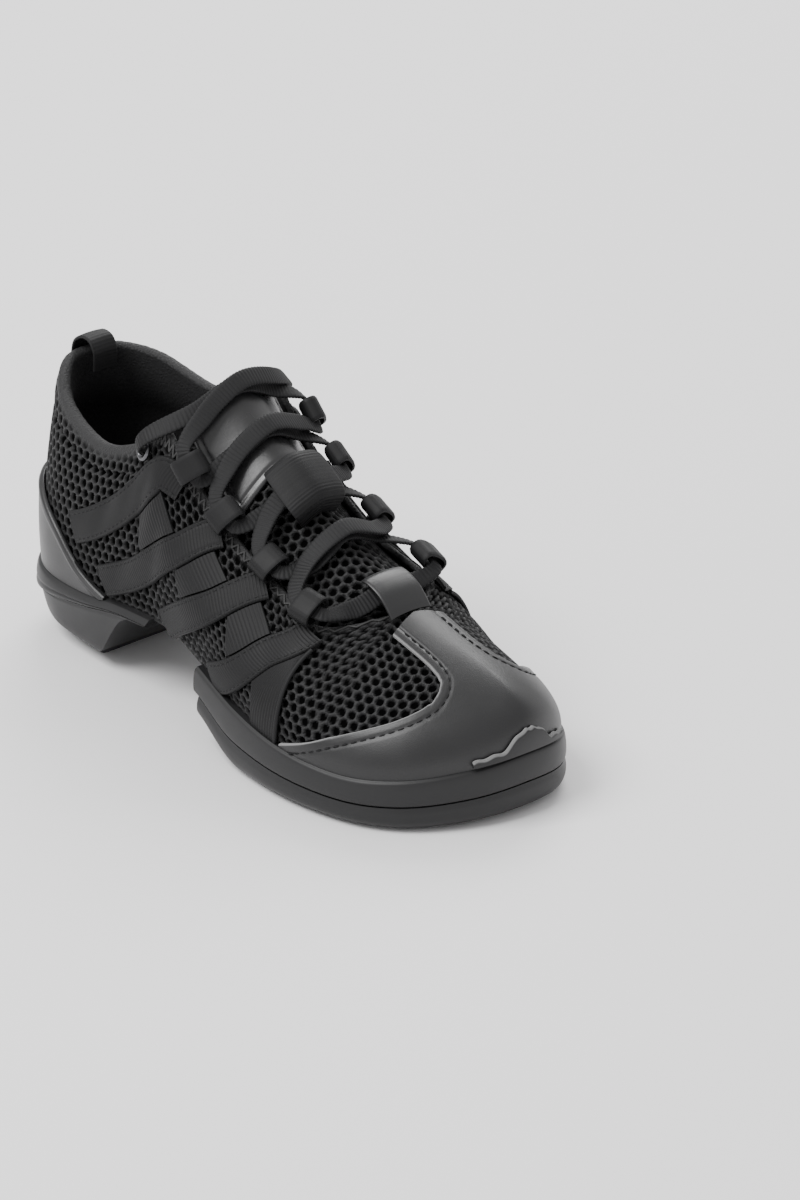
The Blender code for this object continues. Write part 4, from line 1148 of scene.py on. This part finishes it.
def add_stack(name, node, rings, heights, grooves):
    """A sole piece: its rings joined by smooth rows, with grooves where the sides step in."""
    query = np.linspace(0, 1, heights)
    rows = np.einsum("ri,ijk->rjk", refine_matrix(len(rings), query), np.array(rings))
    around = np.roll(rows, -1, 1) - np.roll(rows, 1, 1)
    out = np.cross(around, UP)
    out /= np.linalg.norm(out, axis=-1, keepdims=True) + 1e-12
    x, y = rows[0, :, 0], rows[0, :, 1]
    out = out * np.sign((x * np.roll(y, -1) - np.roll(x, -1) * y).sum())
    for share, width, depth in grooves:
        dip = np.exp(-((query - share) / width) ** 2) * depth * MM
        rows = rows - out * dip[:, None, None]
    add_piece(name, rows, stack_faces(rows), "sole_rubber", (node,), sharp=42)


def make_heel():
    """Heel unit: band and block as rings round the feather edge, with the groove between."""
    steps = np.sin(np.linspace(0, 1, 90) * math.pi / 2) ** 1.2

    def split(end):
        """Height where the block ends, over a ring that runs to a given t."""
        t = steps * end
        rise = feather_height(t) - HEEL_BLOCK_HEIGHT - 2.5 * MM
        return HEEL_BLOCK_HEIGHT + rise * smooth(t / 0.40)

    top = steps * HEEL_UNIT_T
    low = split(HEEL_UNIT_T)
    high = feather_height(top)
    band = [
        ring(top, 2.8 * MM, low + GAP),
        ring(top, 3.9 * MM, low + GAP + 0.8 * MM),
        ring(top, 4.0 * MM, (low + high) / 2),
        ring(top, 3.3 * MM, high - 0.6 * MM),
        ring(top, 2.0 * MM, high + 0.5 * MM),
    ]
    add_stack("heel_band", "heel_midsole", band, 32, ((0.45, 0.05, 0.35),))
    block = [
        ring(steps * 0.290, -9.0 * MM, 0.0),
        ring(steps * 0.295, -6.2 * MM, 1.0 * MM),
        ring(steps * 0.305, -2.8 * MM, 4.0 * MM),
        ring(steps * 0.328, 0.4 * MM, 8.0 * MM),
        ring(steps * 0.370, 2.2 * MM, split(0.370) * 0.92),
        ring(steps * 0.41, 2.6 * MM, split(0.41)),
    ]
    add_stack("heel_block", "heel_outsole", block, 40, ((0.86, 0.02, 0.5),))


def make_forefoot():
    """Forefoot unit: band and tread as rings round the feather edge, with toe spring."""
    steps = 1 - np.cos(np.linspace(0, 1, 150) * math.pi / 2) ** 1.1

    def at(back):
        """Stations from a little behind the unit's rear line to the toe."""
        start = FOREFOOT_UNIT_T + back
        return start + (1 - start) * steps

    def ground(t):
        """Height of the tread's underside: toe spring, and a rise to the arch."""
        spring = TOE_SPRING * smooth((t - 0.76) / 0.24) ** 1.3
        return spring + 9.0 * MM * smooth((0.575 - t) / 0.075) ** 1.2

    def between(t, share):
        """Height a share of the way from the ground to the line between tread and band."""
        return ground(t) + (feather_height(t) - ground(t)) * 0.50 * share

    t = at(0.0)
    low = between(t, 1.0)
    high = feather_height(t)
    band = [
        ring(t, 2.4 * MM, low + GAP),
        ring(t, 3.6 * MM, low + GAP + 0.7 * MM),
        ring(t, 3.8 * MM, (low + high) / 2),
        ring(t, 3.2 * MM, high - 0.5 * MM),
        ring(t, 2.1 * MM, high + 0.7 * MM),
    ]
    add_stack("forefoot_band", "forefoot_midsole", band, 32, ())
    foot = at(0.022)
    edge = at(0.014)
    wall = at(0.006)
    tread = [
        ring(foot, -1.5 * MM, ground(foot)),
        ring(edge, 1.6 * MM, ground(edge) + 1.0 * MM),
        ring(wall, 3.4 * MM, between(wall, 0.35)),
        ring(wall, 3.8 * MM, between(wall, 0.70)),
        ring(wall, 3.2 * MM, between(wall, 1.0)),
    ]
    add_stack("forefoot_tread", "forefoot_outsole", tread, 36, ())


def make_insole():
    """Insole: a crowned pad inside the wall, its top edge rounded."""
    t = np.linspace(0, 1, 150)
    inset = WALL + 2.2 * MM
    floor = feather_height(t) + WALL + GAP + 2.2 * MM * smooth((t - 0.70) / 0.20)
    rows = [ring(t, -inset, floor)]
    for share in np.linspace(0, 1, 7):
        angle = share * math.pi / 2
        rows.append(ring(t, -inset - 1.2 * MM * (1 - math.cos(angle)),
                         floor + 1.4 * MM + 1.2 * MM * math.sin(angle)))
    rows = np.array(rows)
    add_piece("insole_pad", rows, stack_faces(rows), "fine_knit", ("insole",))


def make_tongue(sizes):
    """Tongue of air mesh with a bound top edge, and the smooth panel on its upper end."""
    t = np.linspace(TONGUE[0].t, TONGUE[-1].t, 17)
    coarse = np.array([tongue_line(value) for value in t])
    thick = crown("thick", t)[:, None] * MM
    thick = thick * (1 - 0.5 * np.linspace(-1, 1, coarse.shape[1])[None, :] ** 4)
    rows, columns = 200, 180
    outer = refine(coarse, rows, columns)
    up = refine(sheet_normals(coarse), rows, columns)
    depth = refine(thick[..., None], rows, columns)[..., 0]
    along = run_lengths(outer, 0)
    over = run_lengths(outer, 1)
    share = np.linspace(0, 1, columns)[None, :]
    pits = hole_share(along, over, sizes) * smooth((along - 5 * MM) / (2 * MM))
    pits = pits * smooth((0.5 - np.abs(share - 0.5)) / 0.06)
    bead = np.sqrt(1 - np.clip(1 - along / BINDING, 0, 1) ** 2)
    inner = outer - up * (depth * (0.3 + 0.7 * bead))[..., None]
    face = outer - up * (depth * 0.35 * (1 - bead) + sizes.hole_depth * pits)[..., None]
    # The hole mark is where the finish paints shade into the mesh's holes.
    add_sheet("tongue_mesh", face, inner, grid_quads(rows, columns), "air_mesh",
              ("tongue",), marks={"hole": pits}, sharp=70)
    panel = refine(coarse[0:7, 3:10], 80, 70)
    lift = refine(sheet_normals(coarse)[0:7, 3:10], 80, 70)
    s = np.linspace(0, 1, 80)[:, None]
    u = np.linspace(0, 1, 70)[None, :]
    full = np.minimum(rounded(s, PANEL_LENGTH, 1.1 * MM), rounded(u, PANEL_WIDTH, 1.1 * MM))
    seam = np.minimum(np.minimum(s, 1 - s) * PANEL_LENGTH, np.minimum(u, 1 - u) * PANEL_WIDTH)
    puff = 0.35 * MM * np.sin(math.pi * s) * np.sin(math.pi * u)
    high = GAP + 1.0 * MM * (0.35 + 0.65 * full) + puff
    high = high - 0.25 * MM * np.exp(-((seam - 2.0 * MM) / (0.4 * MM)) ** 2)
    add_sheet("tongue_panel_leather", panel + lift * high[..., None], panel + lift * GAP,
              grid_quads(80, 70), "glossy_leather", ("tongue_panel",))
    for number, column in enumerate((5, 64)):
        path = panel[4:-4, column] + lift[4:-4, column] * (GAP + 0.95 * MM)
        add_stitches("tongue_panel_thread_{}".format(number), path, lift[4:-4, column],
                     radius=0.2)


def bent_strip(name, node, grid, thick, rows, columns, look, pitch, depth, width):
    """A bent tape: the smooth sheet through its coarse grid, ribs along it, edges rounded."""
    middle = refine(grid, rows, columns)
    face = unit(np.cross(np.gradient(middle, axis=0), np.gradient(middle, axis=1)))
    full = rounded(np.linspace(0, 1, columns)[None, :], width, 0.6 * MM)
    half = thick / 2 * (0.5 + 0.5 * full) + ribbed(run_lengths(middle, 0), pitch, depth) * full
    add_sheet(name, middle + face * half[..., None], middle - face * half[..., None],
              grid_quads(rows, columns), look, (node,))


def make_keeper(sizes):
    """Grosgrain bridge on the tongue: the strip of the part's rows, ribbed."""
    rows = ((0.0, 0.95), (0.02, 4.4), (0.08, 7.8), (0.26, 9.0), (0.74, 9.0), (0.92, 7.8),
            (0.98, 4.4), (1.0, 0.95))
    grid = []
    for share, lift in rows:
        t = KEEPER_T[0] + (KEEPER_T[1] - KEEPER_T[0]) * share
        grid.append([on_tongue(t, q, lift * MM)[0] for q in (-0.19, -0.1, 0.0, 0.1, 0.19)])
    bent_strip("keeper_tape", "lace_keeper", grid, TAPE, 120, 25, "grosgrain",
               sizes.rib_pitch, sizes.rib_depth, 9 * MM)


def make_throat_tab():
    """Leather tab at the throat's base: the strip of the part's rows."""
    base = top_edge(np.array([THROAT_BASE_T]), 1)[0]
    rows = ((1.6, 1.0), (-0.6, 3.6), (-4.2, 6.9), (-8.2, 8.9), (-11.4, 9.7), (-13.6, 9.4))
    grid = []
    for back, rise in rows:
        grid.append([base + np.array([back * MM, q * MM, (rise - 0.012 * q * q) * MM])
                     for q in (-8.5, -4.5, 0.0, 4.5, 8.5)])
    bent_strip("throat_tab_leather", "throat_tab", grid, LEATHER, 60, 30, "satin_leather",
               1.0, 0.0, 17 * MM)


def make_pull_loop(sizes):
    """Tape loop over the back of the collar: the strip of the part's rows, ribbed."""
    spread = ((-1, 0.037), (-1, 0.018), (-1, 0.0), (1, 0.018), (1, 0.037))
    grid = []
    for v, lift in ((0.86, 0.9), (0.96, 1.0)):
        grid.append([skin(np.array([t]), np.array([v]), side, np.array([lift * MM]))[0]
                     for side, t in spread])
    top = [top_edge(np.array([t]), side)[0] for side, t in spread]
    for forward, rise in ((-0.6, 2.8), (1.4, 5.4), (4.8, 7.0), (8.6, 6.4), (10.8, 3.4),
                          (11.0, 0.0), (10.8, -4.0)):
        grid.append([point + np.array([forward * MM, 0.0, rise * MM]) for point in top])
    bent_strip("pull_loop_tape", "pull_loop", grid, TAPE, 110, 31, "grosgrain",
               sizes.rib_pitch, sizes.rib_depth * 0.7, 14 * MM)


def make_lace_loops(sizes):
    """Tape sleeves: a rounded oval carried along each loop's axis, outside and inside."""
    around = 48
    turn = np.linspace(0, 2 * math.pi, around, endpoint=False)
    wide = squared(np.cos(turn), 0.75)
    high = squared(np.sin(turn), 0.75)
    shares = np.linspace(-0.5, 0.5, 12)
    for word, side in SIDES.items():
        for number, t in enumerate(LOOP_T, 1):
            middle, along, inward, up = loop_frame(t, side)
            rows = []
            for thin, order in ((0.0, shares), (TAPE, shares[::-1])):
                for share in order:
                    lip = 0.3 * MM * (abs(share) > 0.49)
                    rib = ribbed(turn * 5.6 * MM, sizes.rib_pitch, sizes.rib_depth)
                    grow = (rib - lip) * (thin == 0) - thin
                    x = LOOP_WIDTH / 2 + grow
                    z = LOOP_HEIGHT / 2 + grow
                    rows.append(middle + along * share * sizes.loop_length
                                + inward * (wide * x)[:, None] + up * (high * z)[:, None])
            name = "lace_loop_{}_{}".format(word, number)
            add_piece(name + "_tape", np.array(rows), grid_quads(len(rows), around, True, True),
                      "grosgrain", (name,))


def make_eyelets():
    """Metal rings: a small circle carried round a larger one on the skin."""
    for word, side in SIDES.items():
        point, out = eyelet_frame(side)
        centre = point + out * (0.9 * MM + 2 * GAP)
        first = unit(np.cross(out, UP))
        second = np.cross(out, first)
        a = np.linspace(0, 2 * math.pi, 40, endpoint=False)[:, None, None]
        b = np.linspace(0, 2 * math.pi, 14, endpoint=False)[None, :, None]
        radius = EYELET_RADIUS + EYELET_WIRE * np.cos(b)
        points = (centre + (first * np.cos(a) + second * np.sin(a)) * radius
                  + out * EYELET_WIRE * np.sin(b))
        add_piece("eyelet_ring_" + word, points, grid_quads(40, 14, True, True),
                  "nickel", ("eyelet_" + word,))


def make_lace(sizes):
    """Flat cord on the part's route: an oval with fine slanting ribs, thinner in the loops."""
    places, ups, scale = (np.array(part) for part in zip(*lace_route()))
    length = run_lengths(places, 0)
    query = np.linspace(0, length[-1], 2600)
    middle = np.stack([spline(length, places[:, k], query) for k in range(3)], -1)
    up = np.stack([spline(length, ups[:, k], query) for k in range(3)], -1)
    size = spline(length, scale, query)[:, None]
    sides = 16
    turn = 2 * math.pi * (np.arange(sides) + 0.5) / sides
    slant = np.abs(np.cos(turn))[None, :] * 0.3 * MM
    rib = ribbed(query[:, None] + slant, LACE_RIB_PITCH, LACE_RIB_DEPTH)
    wide = sizes.lace_width / 2 * size + rib
    high = sizes.lace_thickness / 2 * np.minimum(size * 1.6, 1.0) + rib
    rings = tube(middle, up, wide, high, sides, 0.45)
    add_piece("lace_cord", rings, tube_faces(len(query), sides), "lace_weave",
              ("lace",), sharp=75)


def make_throat_seam():
    """Zigzag overlock along the throat's edges: a thread that swings across the rim."""
    for word, side in SIDES.items():
        t = np.linspace(0.415, 0.694, 900)
        swing = np.abs((t * ZIGZAG_RATE) % 1 * 2 - 1)
        v = 0.945 + 0.05 * swing
        path = skin_grid(t, v, side, 0.25 * MM)
        up = normal(t, np.minimum(v, 0.97), side)
        rings = tube(path, up, 0.32 * MM, 0.26 * MM, 6)
        add_piece("throat_zigzag_" + word, rings, tube_faces(len(rings), 6), "frayed_thread",
                  (), merge=False)


def make_stage(sizes):
    """Pale floor, two soft lamps, an even sky and the camera of the view."""
    tones = bpy.context.scene.sneaker_colours
    reach = 40.0
    mesh = bpy.data.meshes.new("studio_floor")
    mesh.from_pydata([(-reach, -reach, 0), (reach, -reach, 0), (reach, reach, 0),
                      (-reach, reach, 0)], [], [(0, 1, 2, 3)])
    paint, _, shader = new_material("floor_paint")
    shader.inputs["Base Color"].default_value = (*tones.floor, 1.0)
    shader.inputs["Roughness"].default_value = 0.9
    shader.inputs["Specular IOR Level"].default_value = 0.1
    mesh.materials.append(paint)
    floor = bpy.data.objects.new("studio_floor", mesh)
    floor.location = (0.0, 0.0, -0.0004)
    bpy.context.scene.collection.objects.link(floor)
    world = bpy.data.worlds.new("studio_sky")
    world.use_nodes = True
    sky = world.node_tree.nodes["Background"]
    sky.inputs["Color"].default_value = (1.0, 0.995, 1.0, 1.0)
    sky.inputs["Strength"].default_value = sizes.sky_strength
    bpy.context.scene.world = world
    for name, place, size, power in (
        ("key_lamp", (-0.15, -1.15, 1.75), 1.1, sizes.key_power),
        ("back_lamp", (-0.9, 1.3, 1.5), 1.2, sizes.back_power),
    ):
        lamp = bpy.data.lights.new(name, "AREA")
        lamp.size = size
        lamp.energy = power
        holder = bpy.data.objects.new(name, lamp)
        holder.location = place
        aim = Vector((0.09, 0.0, 0.04)) - Vector(place)
        holder.rotation_euler = aim.to_track_quat("-Z", "Y").to_euler()
        bpy.context.scene.collection.objects.link(holder)
    camera = bpy.data.cameras.new("view_camera")
    camera.sensor_width = 36.0
    camera.lens = 194.7
    camera.clip_start = 0.05
    camera.clip_end = 30.0
    holder = bpy.data.objects.new("view_camera", camera)
    holder.location = (1.62519, -1.25590, 0.97078)
    right = Vector((0.6495, 0.7604, 0.0)).normalized()
    back = Vector((0.6880, -0.5876, 0.4258)).normalized()
    up = back.cross(right).normalized()
    turned = Matrix((right, up, back)).transposed()
    holder.rotation_euler = turned.to_euler()
    bpy.context.scene.collection.objects.link(holder)
    bpy.context.scene.camera = holder


# Settings


def length_setting(title, text, value):
    """A length in metres that the panel shows with its unit."""
    return FloatProperty(name=title, description=text, default=value, min=0.0,
                         subtype="DISTANCE", unit="LENGTH", precision=5)


def colour_setting(title, text, value):
    """A colour that the panel shows as a swatch."""
    return FloatVectorProperty(name=title, description=text, default=value, size=3, min=0.0,
                               max=1.0, subtype="COLOR")


class SneakerSizes(bpy.types.PropertyGroup):
    """Sizes of the surface detail, and the strength of the lamps."""

    mesh_pitch: length_setting("Mesh pitch", "Distance between holes of the air mesh", 0.0039)
    hole_diameter: length_setting("Hole diameter", "Width of a hole of the air mesh", 0.0026)
    hole_depth: length_setting("Hole depth", "Depth of a hole of the air mesh", 0.0010)
    roll_height: length_setting("Collar roll", "Depth of the seam below the collar's roll", 0.0009)
    rib_pitch: length_setting("Rib pitch", "Distance between ribs of the tape", 0.0012)
    rib_depth: length_setting("Rib depth", "Height of a rib of the tape", 0.00014)
    lace_width: length_setting("Lace width", "Width of the flat lace", 0.0066)
    lace_thickness: length_setting("Lace thickness", "Thickness of the flat lace", 0.0013)
    loop_length: length_setting("Loop length", "Length of a lace loop's sleeve", 0.0084)
    sky_strength: FloatProperty(name="Sky", description="Strength of the even light",
                                default=0.92, min=0.0)
    key_power: FloatProperty(name="Key lamp", description="Power of the front lamp in watts",
                             default=50.0, min=0.0, unit="POWER")
    back_power: FloatProperty(name="Back lamp", description="Power of the rear lamp in watts",
                              default=34.0, min=0.0, unit="POWER")


class SneakerColours(bpy.types.PropertyGroup):
    """Colours of the cloth, leather, rubber, thread and floor, and the painted shade of the mesh's
    holes and painted highlight of rims.
    """

    mesh: colour_setting("Mesh", "Yarn of the air mesh", (0.0165, 0.0165, 0.017))
    # Painted shade: the near black put in the mesh's holes stands in for the shade of their depth.
    hole: colour_setting("Hole", "Dark backing seen in the holes", (0.0012, 0.0012, 0.0012))
    lining: colour_setting("Lining", "Fine knit inside", (0.008, 0.008, 0.0085))
    leather: colour_setting("Leather", "Coated leather", (0.0115, 0.0115, 0.012))
    webbing: colour_setting("Tape", "Grosgrain tape", (0.0068, 0.0068, 0.0072))
    lace: colour_setting("Lace", "Flat lace", (0.0085, 0.0085, 0.009))
    rubber: colour_setting("Rubber", "Moulded sole", (0.0115, 0.0115, 0.012))
    # Painted highlight: the light grey put along the rims of the toe cap's windows and the top of
    # the toe bumper.
    edge_highlight: colour_setting("Raw edge", "Cut edge of leather and rubber", (0.24, 0.24, 0.24))
    thread: colour_setting("Thread", "Sewing thread", (0.010, 0.010, 0.0105))
    frayed: colour_setting("Frayed thread", "Overlock thread at the throat", (0.045, 0.045, 0.045))
    floor: colour_setting("Floor", "Studio floor", (0.84, 0.835, 0.84))


class Step:
    """What every step's operator does: make its pieces with the scene's sizes."""

    def execute(self, context):
        self.make(context.scene.sneaker_sizes)
        return {"FINISHED"}


class UpperOperator(Step, bpy.types.Operator):
    """Make the mesh upper: two quarters, the vamp and the throat's seam"""

    bl_idname = "sneaker.upper"
    bl_label = "Mesh upper"

    def make(self, sizes):
        for word in SIDES:
            make_quarter(word, sizes)
        make_vamp(sizes)
        make_throat_seam()


class StripesOperator(Step, bpy.types.Operator):
    """Make the side tapes, the ribbed bands between them and their piping"""

    bl_idname = "sneaker.stripes"
    bl_label = "Side tapes"

    def make(self, sizes):
        for word in SIDES:
            for number in (1, 2, 3, 4):
                make_stripe(word, number, sizes)
                make_band(word, number, sizes)
            make_piping(word)


class LeatherOperator(Step, bpy.types.Operator):
    """Make the toe cap, heel counter, toe bumper and throat tab"""

    bl_idname = "sneaker.leather"
    bl_label = "Cap and counters"

    def make(self, _):
        make_toe_cap()
        make_wraps()
        make_throat_tab()


class SoleOperator(Step, bpy.types.Operator):
    """Make the heel unit, the forefoot unit and the insole"""

    bl_idname = "sneaker.sole"
    bl_label = "Split sole"

    def make(self, _):
        make_heel()
        make_forefoot()
        make_insole()


class TongueOperator(Step, bpy.types.Operator):
    """Make the tongue, its panel, the keeper and the heel's pull loop"""

    bl_idname = "sneaker.tongue"
    bl_label = "Tongue and loops"

    def make(self, sizes):
        make_tongue(sizes)
        make_keeper(sizes)
        make_pull_loop(sizes)


class LacingOperator(Step, bpy.types.Operator):
    """Make the lace, its tape loops and the eyelets"""

    bl_idname = "sneaker.lacing"
    bl_label = "Lacing"

    def make(self, sizes):
        make_lace_loops(sizes)
        make_eyelets()
        make_lace(sizes)


class StageOperator(Step, bpy.types.Operator):
    """Make the floor, the lamps and the camera"""

    bl_idname = "sneaker.stage"
    bl_label = "Studio stage"

    def make(self, sizes):
        make_stage(sizes)


class SneakerPanel(bpy.types.Panel):
    """Sizes, colours and steps of the sneaker"""

    bl_idname = "VIEW3D_PT_sneaker"
    bl_label = "Dance sneaker"
    bl_space_type = "VIEW_3D"
    bl_region_type = "UI"
    bl_category = "Sneaker"

    def draw(self, context):
        for group in (context.scene.sneaker_sizes, context.scene.sneaker_colours):
            box = self.layout.box()
            for setting in group.bl_rna.properties:
                if setting.identifier not in {"rna_type", "name"}:
                    box.prop(group, setting.identifier)
        for step in STEPS:
            self.layout.operator(step.bl_idname)


STEPS = (StageOperator, UpperOperator, StripesOperator, LeatherOperator, SoleOperator,
         TongueOperator, LacingOperator)
CLASSES = (SneakerSizes, SneakerColours, *STEPS, SneakerPanel)


def register():
    for item in CLASSES:
        bpy.utils.register_class(item)
    bpy.types.Scene.sneaker_sizes = PointerProperty(type=SneakerSizes)
    bpy.types.Scene.sneaker_colours = PointerProperty(type=SneakerColours)


def unregister():
    del bpy.types.Scene.sneaker_colours
    del bpy.types.Scene.sneaker_sizes
    for item in reversed(CLASSES):
        bpy.utils.unregister_class(item)


def main():
    register()
    bpy.ops.sneaker.stage()
    bpy.ops.sneaker.upper()
    bpy.ops.sneaker.stripes()
    bpy.ops.sneaker.leather()
    bpy.ops.sneaker.sole()
    bpy.ops.sneaker.tongue()
    bpy.ops.sneaker.lacing()


if __name__ == "__main__":
    main()
